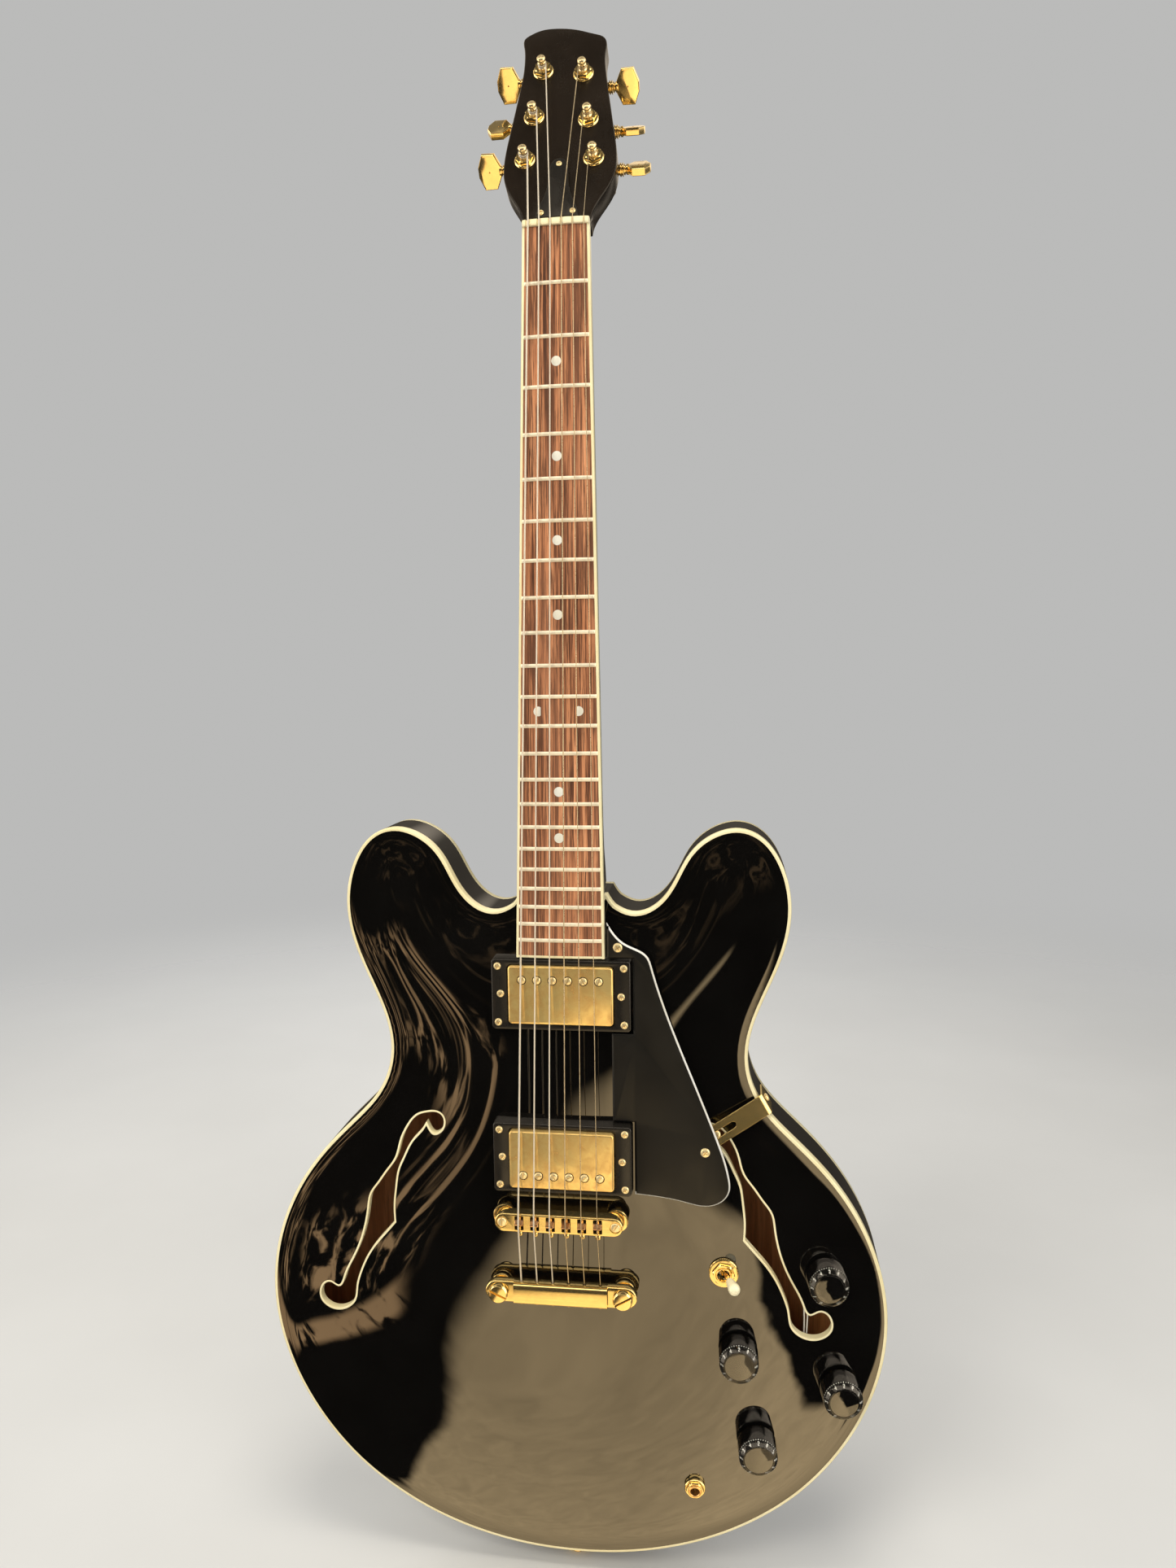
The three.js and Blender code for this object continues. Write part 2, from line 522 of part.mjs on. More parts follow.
// ---- bridge and tailpiece ----
const NUT_PITCH = 7.28, SADDLE_PITCH = 10.3;
const BRIDGE_FRONT = -RIM - 29.6, BRIDGE_BACK = -RIM - 21.6;
const TAIL_FRONT = -RIM - 27.5, TAIL_BACK = -RIM - 18.5;
const SIDES = [['bass', -1], ['treble', 1]];
const saddleX = i => BRIDGE_X + (i - 2.5) * SADDLE_PITCH;
// axis of string i at s from the nut
function stringPoint(i, s) {
  const share = s / (SCALE + BRIDGE_SETBACK);
  const x = BRIDGE_X * share + (i - 2.5) * (NUT_PITCH + (SADDLE_PITCH - NUT_PITCH) * share);
  const lift = 2.1 + 2.9 * s / SCALE;
  return neckPoint(x, s, -lift - STRING_RADII[i] + camber(x));
}
const sAtZ = z => SCALE - (z - LINE_Z) / Math.cos(NECK_TILT);
// bar outline with round ends
const capsule = (halfLength, radius, zc, steps) => [1, -1].flatMap(side =>
  range(steps + 1).map(i => {
    const angle = -Math.PI / 2 + Math.PI * i / steps;
    return [BRIDGE_X + side * (halfLength - radius) + side * radius * Math.cos(angle),
      zc + side * radius * Math.sin(angle)];
  }));

const bridgeBase = () => cut(
  prism(capsule(42, 6.2, BRIDGE_Z, 4), BRIDGE_FRONT, BRIDGE_BACK),
  ...range(6).map(i => box(saddleX(i) - 3, saddleX(i) + 3,
    BRIDGE_FRONT - 5, BRIDGE_BACK - 1.6, BRIDGE_Z - 4.9, BRIDGE_Z + 4.9)),
  ...SIDES.map(([, side]) => rodY(2.5, -90, -20, 12, BRIDGE_X + side * POST_X, BRIDGE_Z)));
function saddle(i) {
  const crest = stringPoint(i, sAtZ(BRIDGE_Z))[1] + STRING_RADII[i] + 0.45;
  const back = BRIDGE_BACK - 2.1, shoulder = BRIDGE_FRONT - 0.3;
  const section = [[back, -2.1], [back, 2.1], [shoulder, 2.1],
    [crest, 0.4], [crest, -0.4], [shoulder, -2.1]];
  return loft([-2.6, 2.6].map(dx => section.map(([y, dz]) => [saddleX(i) + dx, y, BRIDGE_Z + dz])));
}
const bridgePost = side => turned([[0, 8], [POST_R, 8], [POST_R, 39.6], [7.4, 39.8], [7.4, 42.9],
  [2.1, 43.1], [2.1, 52], [0, 52]], 12, [BRIDGE_X + side * POST_X, 0, BRIDGE_Z], FRONTWARD);
const tailpiece = () => cut(
  prism(capsule(50.2, 7.5, TAIL_Z, 5), TAIL_FRONT, TAIL_BACK),
  ...SIDES.flatMap(([, side]) => {
    const x = BRIDGE_X + side * STUD_X;
    return [rodY(4.1, -90, 0, 10, x, TAIL_Z),
      rod(6.7, 47.2, 90, 14, [x, 0, TAIL_Z], FRONTWARD)];
  }));
// stud with a slot across its head
function tailStud(side) {
  const x = BRIDGE_X + side * STUD_X;
  const stud = turned([[0, 8], [STUD_R, 8], [STUD_R, 36.9], [7.2, 37], [7.2, 38.8], [3.8, 38.8],
    [3.8, 47.5], [6.3, 47.5], [6.3, 50.2], [5.2, 51.2], [0, 51.2]], 14, [x, 0, TAIL_Z], FRONTWARD);
  return cut(stud, box(x - 8, x + 8, -60, -49.8, TAIL_Z - 0.7, TAIL_Z + 0.7));
}
add('bridge_base', bridgeBase(), 'gold');
for (const i of range(6)) add('saddle_' + (i + 1), saddle(i), 'nickel');
for (const [name, side] of SIDES) add('bridge_post_' + name, bridgePost(side), 'gold');
add('tailpiece', tailpiece(), 'gold');
for (const [name, side] of SIDES) add('tail_stud_' + name, tailStud(side), 'gold');

// ---- pickguard and its bracket ----
const BRACKET_DIR = new THREE.Vector2(0.875, 0.485).normalize();   // in (x, z)
const BRACKET_HALF_W = 6.8;
// strip section: [along, height over the front rim plane]
const BRACKET = [[-8, 14.7], [9, 14.7], [50.1, 2.1], [51.8, 0.8], [51.8, -17], [50.6, -17],
  [50.6, 0.2], [49.6, 0.9], [8.8, 13.5], [-8, 13.5]];
const SLOT = [[14, -2.2], [27, -2.2], [28.6, -1.4], [29.2, 0], [28.6, 1.4], [27, 2.2],
  [14, 2.2], [12.4, 1.4], [11.8, 0], [12.4, -1.4]];   // [along, across]
const bracketXZ = (along, across) => [
  87 + BRACKET_DIR.x * along - BRACKET_DIR.y * across,
  LINE_Z + 42 + BRACKET_DIR.y * along + BRACKET_DIR.x * across];
function bracket() {
  const strip = remapped(welded(extrude(BRACKET, 2 * BRACKET_HALF_W)), (along, height, w) => {
    const [x, z] = bracketXZ(along, w - BRACKET_HALF_W);
    return [x, -RIM - height, z];
  });
  return cut(strip, prism(SLOT.map(point => bracketXZ(...point)), -60, -10));
}
add('pickguard', prism(fromLine(GUARD), -RIM - 17.2, -RIM - 15), 'plastic');
add('pickguard_bracket', bracket(), 'gold');

// ---- controls ----
const KNOB_R = 12.8, KNOB_BASE = 1.8, KNOB_TOP = KNOB_BASE + 16.5;
const knobProfile = [[0, -9], [3.2, -9], [3.2, KNOB_BASE], [KNOB_R, KNOB_BASE],
  [KNOB_R - 0.6, KNOB_TOP - 0.6], [KNOB_R - 1.4, KNOB_TOP], [0, KNOB_TOP]];
for (const knob of KNOBS) {
  add('knob_' + knob.name, turned(knobProfile, 20, onTop(knob), knob.axis), 'plastic');
}

const LEVER_LEAN = THREE.MathUtils.degToRad(17.5);   // towards +X
const [switchX, switchY, switchZ] = onTop(SWITCH);
const switchBushing = turned([[4.4, -24], [6, -24], [6, 0.7], [9.7, 0.7], [9.7, 1.5], [8.2, 1.6],
  [6.6, 3.6], [4.9, 3.8], [4.4, -24]], 14, [switchX, switchY, switchZ], FRONTWARD);
const switchBox = box(switchX - 7, switchX + 7, switchY + 22, switchY + 27.5,
  switchZ - 16, switchZ + 16);
add('toggle_switch', union(switchBushing, switchBox), 'gold');
add('toggle_lever', turned([[0, -8], [1.5, -8], [1.5, -2.6], [3.2, -1], [3.2, 1], [1.5, 2.6],
  [1.5, 9], [2.6, 9.4], [3.6, 18], [2, 21.4], [0, 21.8]], 10,
[switchX, switchY + 2.5, switchZ], [Math.sin(LEVER_LEAN), -Math.cos(LEVER_LEAN), 0]), 'tip');
add('output_jack', turned([[3.2, -24], [5.2, -24], [5.2, 1.3], [6.9, 1.3], [6.9, 2.3], [5.9, 2.4],
  [5.9, 4], [5, 5], [3.2, 5], [3.2, -24]], 14, onTop(JACK), JACK.axis), 'gold');

// ---- strap buttons ----
const BUTTON = [[5.6, GAP], [5, 2], [3.8, 4.5], [4.2, 8], [7.4, 10.6], [8, 12]];
const SCREW_END = -GAP - 13.4;
add('strap_button_end', turned([[0, SCREW_END], [1.6, SCREW_END], [1.6, GAP], ...BUTTON,
  [7.4, BASE_Z], [0, BASE_Z]], 14, [0, 0, BASE_Z], [0, 0, -1]), 'gold');
add('strap_button_heel', turned([[0, GAP], ...BUTTON, [7.4, 13.2], [0, 13.2]],
  14, [0, HEEL_Y, END_Z + 12], BACKWARD), 'gold');

// ---- strings: tailpiece, bridge, nut, side of the tuner post ----
STRING_RADII.forEach((radius, i) => {
  const tuner = TUNERS[i];
  add('string_' + (i + 1), wire([
    [BRIDGE_X + (i - 2.5) * SADDLE_PITCH * 0.98, TAIL_FRONT + 4, TAIL_Z + 8],
    stringPoint(i, sAtZ(BRIDGE_Z - 6.8)),
    stringPoint(i, -4.6),
    headPoint(tuner.x - sideOf(tuner) * (2.2 + GAP + radius), tuner.s, -STRING_HOLE)],
  radius, 6), 'steel');
});

export default group;
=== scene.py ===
"""Semi-hollow electric guitar, upright on its lower strap pin, with floor, lights and camera.

The front faces -y, z runs up the neck and the bass side is at -x. The centre line is x = 0.
Lengths are millimetres and become metres in mesh_object(); floor, lights and camera are in metres.
"""
import math

import bmesh
import bpy
import numpy as np
from mathutils import Matrix, Vector
from mathutils.geometry import delaunay_2d_cdt


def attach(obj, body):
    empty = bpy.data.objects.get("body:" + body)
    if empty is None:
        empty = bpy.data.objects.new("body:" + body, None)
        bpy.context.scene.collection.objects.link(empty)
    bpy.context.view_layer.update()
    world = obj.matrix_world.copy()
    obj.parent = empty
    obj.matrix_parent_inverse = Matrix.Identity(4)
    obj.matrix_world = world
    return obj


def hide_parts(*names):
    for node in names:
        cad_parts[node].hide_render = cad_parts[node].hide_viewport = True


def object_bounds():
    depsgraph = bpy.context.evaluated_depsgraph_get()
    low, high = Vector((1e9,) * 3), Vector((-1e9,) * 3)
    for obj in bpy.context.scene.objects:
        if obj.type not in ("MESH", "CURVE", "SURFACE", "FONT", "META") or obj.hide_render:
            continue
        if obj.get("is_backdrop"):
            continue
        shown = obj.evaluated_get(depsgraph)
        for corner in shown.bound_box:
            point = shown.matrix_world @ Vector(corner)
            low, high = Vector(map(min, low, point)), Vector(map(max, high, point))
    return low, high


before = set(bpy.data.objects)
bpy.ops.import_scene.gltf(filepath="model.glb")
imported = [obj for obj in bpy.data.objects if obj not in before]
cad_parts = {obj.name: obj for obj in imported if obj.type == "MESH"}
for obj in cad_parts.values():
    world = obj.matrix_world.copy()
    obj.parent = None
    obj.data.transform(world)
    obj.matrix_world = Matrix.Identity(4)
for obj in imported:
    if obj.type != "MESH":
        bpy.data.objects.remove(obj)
CAD_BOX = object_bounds()

# ---------------------------------------------------------------- main dimensions
SCALE_LENGTH = 628.65       # nut to the foot of the scale
SCALE_Z = 275.0             # height of the foot of the scale
RIM_HALF = 22.0             # the plates start at y = -22 and 22
TOP_ARCH, BACK_ARCH, PLATE_T = 13.5, 11.0, 5.0
BINDING_T, BINDING_DEPTH = 2.2, 6.5
NECK_TILT = math.radians(3.7)
NECK_RISE = 27.4            # board plane in front of the rim at the foot of the scale
BOARD_T = 6.0
NUT_W, BOARD_END_W = 43.0, 57.4
BOARD_CAMBER_R = 305.0
HEAD_TILT, HEAD_T = math.radians(17), 15.0
NUT_PITCH, SADDLE_PITCH = 7.28, 10.3
STRING_R = [0.6, 0.5, 0.42, 0.34, 0.27, 0.22]       # bass to treble
BRIDGE_X, BRIDGE_Z, TAIL_Z = -2.0, SCALE_Z - 8.5, SCALE_Z - 59
POST_X, STUD_X = 37.2, 41.2                         # either side of BRIDGE_X
NECK_PICKUP_Z, BRIDGE_PICKUP_Z = SCALE_Z + 140.2, SCALE_Z + 32.4
BODY_END_Z, BODY_BASE_Z = SCALE_Z + 203.6, SCALE_Z - 261.9
MM = 0.001

# treble half of the body outline: x, z from SCALE_Z
BODY_HALF = [
    (0, -261.9), (28, -260.5), (55.7, -255.9), (82.6, -248.1), (108.3, -237), (132.4, -222.5),
    (154.2, -204.9), (173, -184.1), (188.6, -160.8), (200.5, -135.4), (208.1, -108.4),
    (210.8, -80.6), (207.7, -51.5), (198.9, -23.5), (185.1, 2.3), (167, 25.4), (146.3, 46.1),
    (127.4, 68.4), (119.7, 96.2), (121.9, 113.3), (127.5, 129.6), (134.4, 145.4), (141, 161.3),
    (145.8, 177.8), (147.7, 194.8), (146.4, 208.5), (142.6, 221.8), (136.2, 233.9),
    (126.3, 243.4), (113.3, 247.2), (100.5, 244.4), (89.2, 237.6), (80.6, 227.7), (74.6, 216),
    (68.2, 204.5), (59.1, 195.1), (46.9, 190.7), (39.4, 192.4), (33.2, 197.1), (29, 203.6)]
# simpler outline under the controls: x, z from SCALE_Z
CONTROL_OUTLINE = [
    (0, -261.9), (36, -259.6), (71.5, -251.8), (104.5, -238.9), (136.5, -219.6),
    (164.5, -194.3), (187.2, -163.2), (202.5, -130.5), (210.3, -94.5), (209.7, -62),
    (201, -29), (185.1, 2.3), (165, 27.6)]
# treble f-hole: x, z from SCALE_Z
F_HOLE = [
    (91.4, 55.7), (101.7, 52.3), (109.4, 43.4), (114.2, 33.1), (117.7, 21.3), (124, 12.3),
    (130.4, 3.3), (136, -5), (137.9, -14.6), (140.1, -26.6), (144.5, -40.2), (150.4, -52.4),
    (156.2, -64.6), (160.4, -71.6), (165.5, -69.6), (171.6, -71.4), (175, -77.6),
    (174.6, -83.7), (169.6, -88.7), (162.2, -90.2), (153, -87), (147.4, -80.7), (145.4, -70.1),
    (142.7, -61), (137.6, -49.5), (131.1, -39.6), (123.3, -30.4), (116.7, -22.7),
    (117.2, -10.9), (116.1, 0.9), (113.7, 14.2), (110.4, 21.5), (104.1, 33.4), (96.4, 42.3),
    (94.8, 44.9), (89.3, 38.9), (84.9, 40.5), (81, 47.1), (82.2, 52.8), (86.4, 55.6)]
F_HOLE_CORNERS = [0, 27, 34]
# pickguard: x, z from SCALE_Z; the first 12 points are its free outer edge
GUARD = [
    (30.4, 188.5), (41.5, 175.2), (56.5, 166.5), (59.2, 159.5), (82.5, 93.5), (99.5, 50),
    (108, 21.5), (108.3, 14), (104, 6.5), (94, 2.3), (78, 4.6), (47, 8.4), (47, 57), (33, 57),
    (33, 115.5), (47, 115.5), (47, 165), (30.4, 165)]
# headstock: x, distance up its face from the nut; the side is mirrored, the crown is not
HEAD_SIDE = [(21.4, 0), (22.5, 6), (27, 16), (33, 27), (36.4, 38), (36.9, 46), (36.2, 58),
             (34, 74), (31.7, 90), (29.4, 106), (27.6, 121), (27.3, 135)]
HEAD_CROWN = [(27.6, 143), (26, 146.5), (19, 150.3), (10, 154), (1, 156.5), (-8, 157.6),
              (-17, 157), (-24, 154), (-28.2, 150.5), (-28, 143)]
# (x, z from SCALE_Z), axis
KNOBS = {
    "knob_upper_outer": ((169.6, -45.0), (0.10, -1, 0.01)),
    "knob_upper_inner": ((113.5, -96.5), (0.037, -1, -0.018)),
    "knob_lower_inner": ((125.6, -162.0), (0.063, -1, -0.064)),
    "knob_lower_outer": ((179.2, -121.8), (0.11, -1, -0.035))}
SWITCH_AT, SWITCH_LEAN = (104.2, -43.7), math.radians(17.5)
JACK_AT, JACK_AXIS = (84.7, -199.5), (0.03, -1, -0.085)
# x, distance up the headstock, button turn in degrees; bass string first
TUNERS = {"bass_1": (-23, 50.5, 60), "bass_2": (-18.5, 84.5, -23), "bass_3": (-14, 121.5, 56),
          "treble_3": (13, 117, 56), "treble_2": (17.5, 79.5, -41),
          "treble_1": (22, 48.5, -34)}


# ---------------------------------------------------------------- node graphs
class Graph:
    """Builds the node tree of a material or of the world."""

    def __init__(self, owner, kind):
        owner.use_nodes = True
        self.owner, self.tree = owner, owner.node_tree
        self.tree.nodes.clear()
        self.output = self.node("Output" + kind)
        self.coords = self.node("TexCoord")

    def node(self, kind, inputs=(), **settings):
        node = self.tree.nodes.new("ShaderNode" + kind)
        for key, value in settings.items():
            setattr(node, key, value)
        for key, value in dict(inputs).items():
            self.set(node.inputs[key], value)
        return node

    def set(self, socket, value):
        if isinstance(value, bpy.types.NodeSocket):
            self.tree.links.new(value, socket)
        elif socket.type == "RGBA":
            socket.default_value = (*value, 1)
        else:
            socket.default_value = value

    def finish(self, shader):
        self.set(self.output.inputs[0], shader)
        return self.owner

    def mapped(self, scale):
        return self.node("Mapping", {"Vector": self.coords.outputs["Object"],
                                     "Scale": scale}).outputs["Vector"]

    def noise_at(self, vector, scale, detail, dist=0.0, rough=0.5):
        return self.node("TexNoise", {"Vector": vector, "Scale": scale, "Detail": detail,
                                      "Roughness": rough, "Distortion": dist}).outputs["Fac"]

    def noise(self, scale, detail=4.0, rough=0.55, dist=0.0):
        """Noise in object space; scale is one number or one per axis."""
        if not isinstance(scale, tuple):
            scale = (scale,) * 3
        return self.noise_at(self.mapped(scale), 1.0, detail, dist, rough)

    def ramp(self, value, stops):
        """Colour ramp; stops are (position, grey or colour)."""
        node = self.node("ValToRGB")
        elements = node.color_ramp.elements
        while len(elements) < len(stops):
            elements.new(0.5)
        for element, (position, color) in zip(elements, stops):
            element.position = position
            element.color = (*(color if isinstance(color, tuple) else grey(color)), 1)
        self.set(node.inputs["Fac"], value)
        return node.outputs["Color"]

    def mix(self, amount, first, second):
        return self.node("Mix", {0: amount, 6: first, 7: second}, data_type="RGBA").outputs[2]

    def remap(self, value, span, to=(0, 1)):
        return self.node("MapRange", {"Value": value, "From Min": span[0], "From Max": span[1],
                                      "To Min": to[0], "To Max": to[1]},
                         interpolation_type="SMOOTHSTEP").outputs["Result"]

    def fade(self, value, start, end):
        """0 at start and 1 at end, whichever is larger."""
        rising = start < end
        return self.remap(value, span=(min(start, end), max(start, end)),
                          to=(0, 1) if rising else (1, 0))

    def bump(self, height, strength, dist=0.0002, normal=None):
        inputs = {"Strength": strength, "Distance": dist, "Height": height}
        if normal is not None:
            inputs["Normal"] = normal
        return self.node("Bump", inputs).outputs["Normal"]

    def math(self, operation, *values):
        return self.node("Math", enumerate(values), operation=operation).outputs[0]

    def principled(self, **inputs):
        named = {key.replace("_", " ").title().replace("Ior", "IOR"): value
                 for key, value in inputs.items()}
        return self.node("BsdfPrincipled", named).outputs["BSDF"]

    def mix_shader(self, amount, first, second):
        return self.node("MixShader", {0: amount, 1: first, 2: second}).outputs[0]


def new_material(name):
    return Graph(bpy.data.materials.new(name), "Material")


def grey(value):
    return (value,) * 3


def shade(color, factor):
    return tuple(c * factor for c in color)


def tint(color, factors):
    return tuple(c * f for c, f in zip(color, factors))


# ---------------------------------------------------------------- materials
def lacquer(name, base, rough, peel, spec=1.0, coat=1.0):
    """Gloss lacquer; rough is (least, most), peel the strength of its waviness."""
    m = new_material(name)
    low, high = rough
    smear = m.noise(scale=(14, 14, 9), detail=3, rough=0.6, dist=0.8)
    swirl = m.noise(scale=(420, 420, 60), detail=3, rough=0.5)
    roughness = m.mix(0.35, m.ramp(smear, [(0.35, low), (0.72, high)]),
                      m.ramp(swirl, [(0.4, low), (0.75, high)]))
    normal = m.bump(m.noise(scale=230, detail=2, rough=0.5), strength=peel, dist=0.00004)
    normal = m.bump(m.noise(scale=38, detail=2, rough=0.5), strength=peel * 1.6, dist=0.00006,
                    normal=normal)
    color = m.ramp(m.noise(scale=26, detail=3, rough=0.6), [(0.3, base), (0.8, shade(base, 1.9))])
    return m.finish(m.principled(
        base_color=color, roughness=roughness, normal=normal, specular_ior_level=spec,
        coat_weight=coat, coat_roughness=low))


def gold(name, base, tarnish, rough, brushed=None, metal=0.96):
    """Gold plate with dull patches; brushed is the noise scale of brush lines."""
    m = new_material(name)
    patch = m.noise(scale=170, detail=6, rough=0.62, dist=0.6)
    cloud = m.noise(scale=60, detail=4, rough=0.6, dist=0.3)
    dull = m.ramp(m.mix(0.5, patch, cloud), [(0.42, 0.0), (0.62, 1.0)])
    amount = m.math("MULTIPLY", dull, tarnish)
    color = m.mix(amount, base, tint(base, (0.62, 0.48, 0.42)))
    fine = m.noise(scale=brushed or 1500, detail=4, rough=0.6)
    color = m.mix(m.remap(fine, span=(0.35, 0.8), to=(0.0, 0.35 if brushed else 0.12)),
                  color, shade(base, 0.7))
    roughness = m.mix(amount, grey(rough), grey(min(1, rough + 0.22)))
    roughness = m.mix(m.remap(fine, span=(0.3, 0.8), to=(0.0, 0.25)), roughness,
                      grey(rough + 0.15))
    normal = m.bump(fine, strength=0.25 if brushed else 0.08, dist=0.00003)
    return m.finish(m.principled(base_color=color, metallic=metal, roughness=roughness,
                                 normal=normal))


def plain_metal(name, base, rough, metal):
    m = new_material(name)
    speck = m.noise(scale=900, detail=4, rough=0.6)
    cloud = m.noise(scale=120, detail=4, rough=0.6)
    color = m.mix(m.remap(cloud, span=(0.4, 0.7), to=(0.0, 0.5)), base, shade(base, 0.6))
    roughness = m.mix(m.remap(speck, span=(0.35, 0.75)), grey(rough), grey(rough + 0.2))
    return m.finish(m.principled(base_color=color, metallic=metal, roughness=roughness,
                                 normal=m.bump(speck, strength=0.1, dist=0.00003)))


def wound(name, base):
    """Wound string: a fine rib along the string; the grooves between ribs get painted shade."""
    m = new_material(name)
    ribs = m.node("TexWave", {"Vector": m.mapped((1, 1, 1)), "Scale": 700, "Distortion": 0.0},
                  wave_type="BANDS", bands_direction="Z").outputs["Fac"]
    # painted shade: the colour falls to 0.45 of the base in the grooves between the windings
    color = m.mix(m.remap(ribs, span=(0.0, 1.0)), shade(base, 0.45), base)
    wear = m.noise(scale=(90, 90, 8), detail=3, rough=0.5)
    color = m.mix(m.remap(wear, span=(0.4, 0.7), to=(0, 0.5)), color, shade(base, 0.7))
    return m.finish(m.principled(base_color=color, metallic=0.5, roughness=0.34,
                                 normal=m.bump(ribs, strength=0.5, dist=0.00008)))


def plastic(name, base, rough, speck=0.06, spec=0.5):
    """Plastic with dust; speck is how much the dust shows."""
    m = new_material(name)
    dust = m.noise(scale=2600, detail=2, rough=0.5)
    smear = m.noise(scale=(60, 60, 40), detail=4, rough=0.6, dist=0.5)
    color = m.mix(m.remap(dust, span=(0.70, 0.78), to=(0.0, speck)), base, (0.35, 0.33, 0.30))
    roughness = m.mix(m.remap(smear, span=(0.3, 0.7)), grey(rough), grey(rough + 0.14))
    return m.finish(m.principled(
        base_color=color, roughness=roughness, specular_ior_level=spec,
        normal=m.bump(dust, strength=0.05, dist=0.00003)))


def cream(name, base, rough):
    m = new_material(name)
    big = m.noise(scale=24, detail=4, rough=0.6)
    small = m.noise(scale=(700, 700, 260), detail=3, rough=0.5)
    color = m.mix(m.remap(big, span=(0.35, 0.7), to=(0, 0.6)), base,
                  tint(base, (0.86, 0.80, 0.66)))
    color = m.mix(m.remap(small, span=(0.55, 0.8), to=(0, 0.35)), color, shade(base, 0.72))
    return m.finish(m.principled(
        base_color=color, roughness=m.ramp(small, [(0.3, rough), (0.8, rough + 0.15)]),
        normal=m.bump(small, strength=0.06, dist=0.00004),
        coat_weight=0.5, coat_roughness=0.08))


def rosewood(name):
    m = new_material(name)
    wide = m.noise(scale=(330, 90, 5.5), detail=5, rough=0.62, dist=0.35)
    thin = m.noise(scale=(1250, 300, 11), detail=5, rough=0.65, dist=0.25)
    pores = m.noise(scale=(3600, 900, 70), detail=3, rough=0.6)
    tone = m.noise(scale=(70, 40, 3.0), detail=3, rough=0.5, dist=0.5)
    color = m.ramp(wide, [(0.34, (0.022, 0.008, 0.004)), (0.43, (0.20, 0.070, 0.030)),
                          (0.51, (0.50, 0.200, 0.085)), (0.66, (0.72, 0.330, 0.155))])
    color = m.mix(m.remap(thin, span=(0.42, 0.54), to=(0.92, 0.0)), color, (0.045, 0.016, 0.008))
    color = m.mix(m.remap(tone, span=(0.35, 0.7), to=(0.0, 0.35)), color, (0.46, 0.20, 0.10))
    color = m.mix(m.remap(pores, span=(0.60, 0.70), to=(0.0, 0.75)), color,
                  (0.025, 0.010, 0.006))
    normal = m.bump(pores, strength=0.35, dist=0.00012)
    normal = m.bump(thin, strength=0.12, dist=0.0001, normal=normal)
    return m.finish(m.principled(
        base_color=color, roughness=m.ramp(thin, [(0.3, 0.58), (0.8, 0.42)]), normal=normal,
        specular_ior_level=0.4))


def bare_wood(name, dark, middle, light):
    m = new_material(name)
    grain = m.noise(scale=(230, 230, 7), detail=5, rough=0.6, dist=0.5)
    fibre = m.noise(scale=(1500, 1500, 40), detail=3, rough=0.6)
    color = m.ramp(grain, [(0.3, dark), (0.5, middle), (0.72, light)])
    color = m.mix(m.remap(fibre, span=(0.5, 0.75), to=(0, 0.5)), color, shade(dark, 0.5))
    return m.finish(m.principled(base_color=color, roughness=0.72,
                                 normal=m.bump(fibre, strength=0.3, dist=0.0001)))


def acrylic(name, spec=1.0):
    """Clear shell; shadow and diffuse rays pass so that the dial under it stays lit."""
    m = new_material(name)
    haze = m.noise(scale=500, detail=3, rough=0.6)
    glass = m.principled(
        base_color=(0.97, 0.97, 0.95), roughness=m.ramp(haze, [(0.4, 0.0), (0.8, 0.02)]),
        specular_ior_level=spec, transmission_weight=1.0, ior=1.46)
    ray = m.node("LightPath").outputs
    passes = m.math("MAXIMUM", ray["Is Shadow Ray"], ray["Is Diffuse Ray"])
    return m.finish(m.mix_shader(passes, glass, m.node("BsdfTransparent").outputs[0]))


def felt(name, base):
    m = new_material(name)
    fuzz = m.noise(scale=2500, detail=4, rough=0.7)
    return m.finish(m.principled(
        base_color=m.mix(m.remap(fuzz, span=(0.3, 0.7)), base, shade(base, 2.2)),
        roughness=0.95, normal=m.bump(fuzz, strength=0.6, dist=0.0003), sheen_weight=0.4))


BLACK = lacquer("black_lacquer", base=(0.0020, 0.0018, 0.0016), rough=(0.012, 0.035), peel=0.02)
HEAD_BLACK = lacquer("headstock_lacquer", base=(0.0080, 0.0055, 0.0036), rough=(0.20, 0.32),
                     peel=0.08, spec=0.22, coat=0.0)
CREAM = cream("cream_binding", base=(0.92, 0.82, 0.50), rough=0.30)
IVORY = cream("nut_bone", base=(0.86, 0.77, 0.50), rough=0.35)
DOT = cream("pearl_dots", base=(0.80, 0.77, 0.66), rough=0.22)
TIP = cream("toggle_tip_cream", base=(1.0, 0.90, 0.60), rough=0.30)
WHITE = cream("ply_white", base=(0.78, 0.77, 0.72), rough=0.35)
ROSE = rosewood("rosewood")
WOOD = bare_wood("bare_plywood", dark=(0.40, 0.155, 0.045), middle=(0.58, 0.235, 0.075),
                 light=(0.74, 0.33, 0.12))
MAPLE = bare_wood("maple_block", dark=(0.34, 0.20, 0.09), middle=(0.46, 0.29, 0.14),
                  light=(0.56, 0.38, 0.20))
GOLD = gold("gold_plate", base=(1.0, 0.78, 0.34), tarnish=0.18, rough=0.10)
GOLD_OLD = gold("gold_plate_worn", base=(1.0, 0.72, 0.26), tarnish=0.70, rough=0.13, metal=0.64)
GOLD_SCREW = gold("gold_plate_screw", base=(1.0, 0.82, 0.44), tarnish=0.25, rough=0.16,
                  metal=0.55)
GOLD_BRUSHED = gold("gold_plate_brushed", base=(1.0, 0.78, 0.33), tarnish=0.16, rough=0.16,
                    brushed=(18, 700, 1500))
SADDLE_GOLD = gold("gold_plate_saddle", base=(0.78, 0.50, 0.30), tarnish=0.75, rough=0.26)
GOLD_DARK = gold("gold_plate_dull", base=(0.80, 0.55, 0.24), tarnish=0.6, rough=0.30)
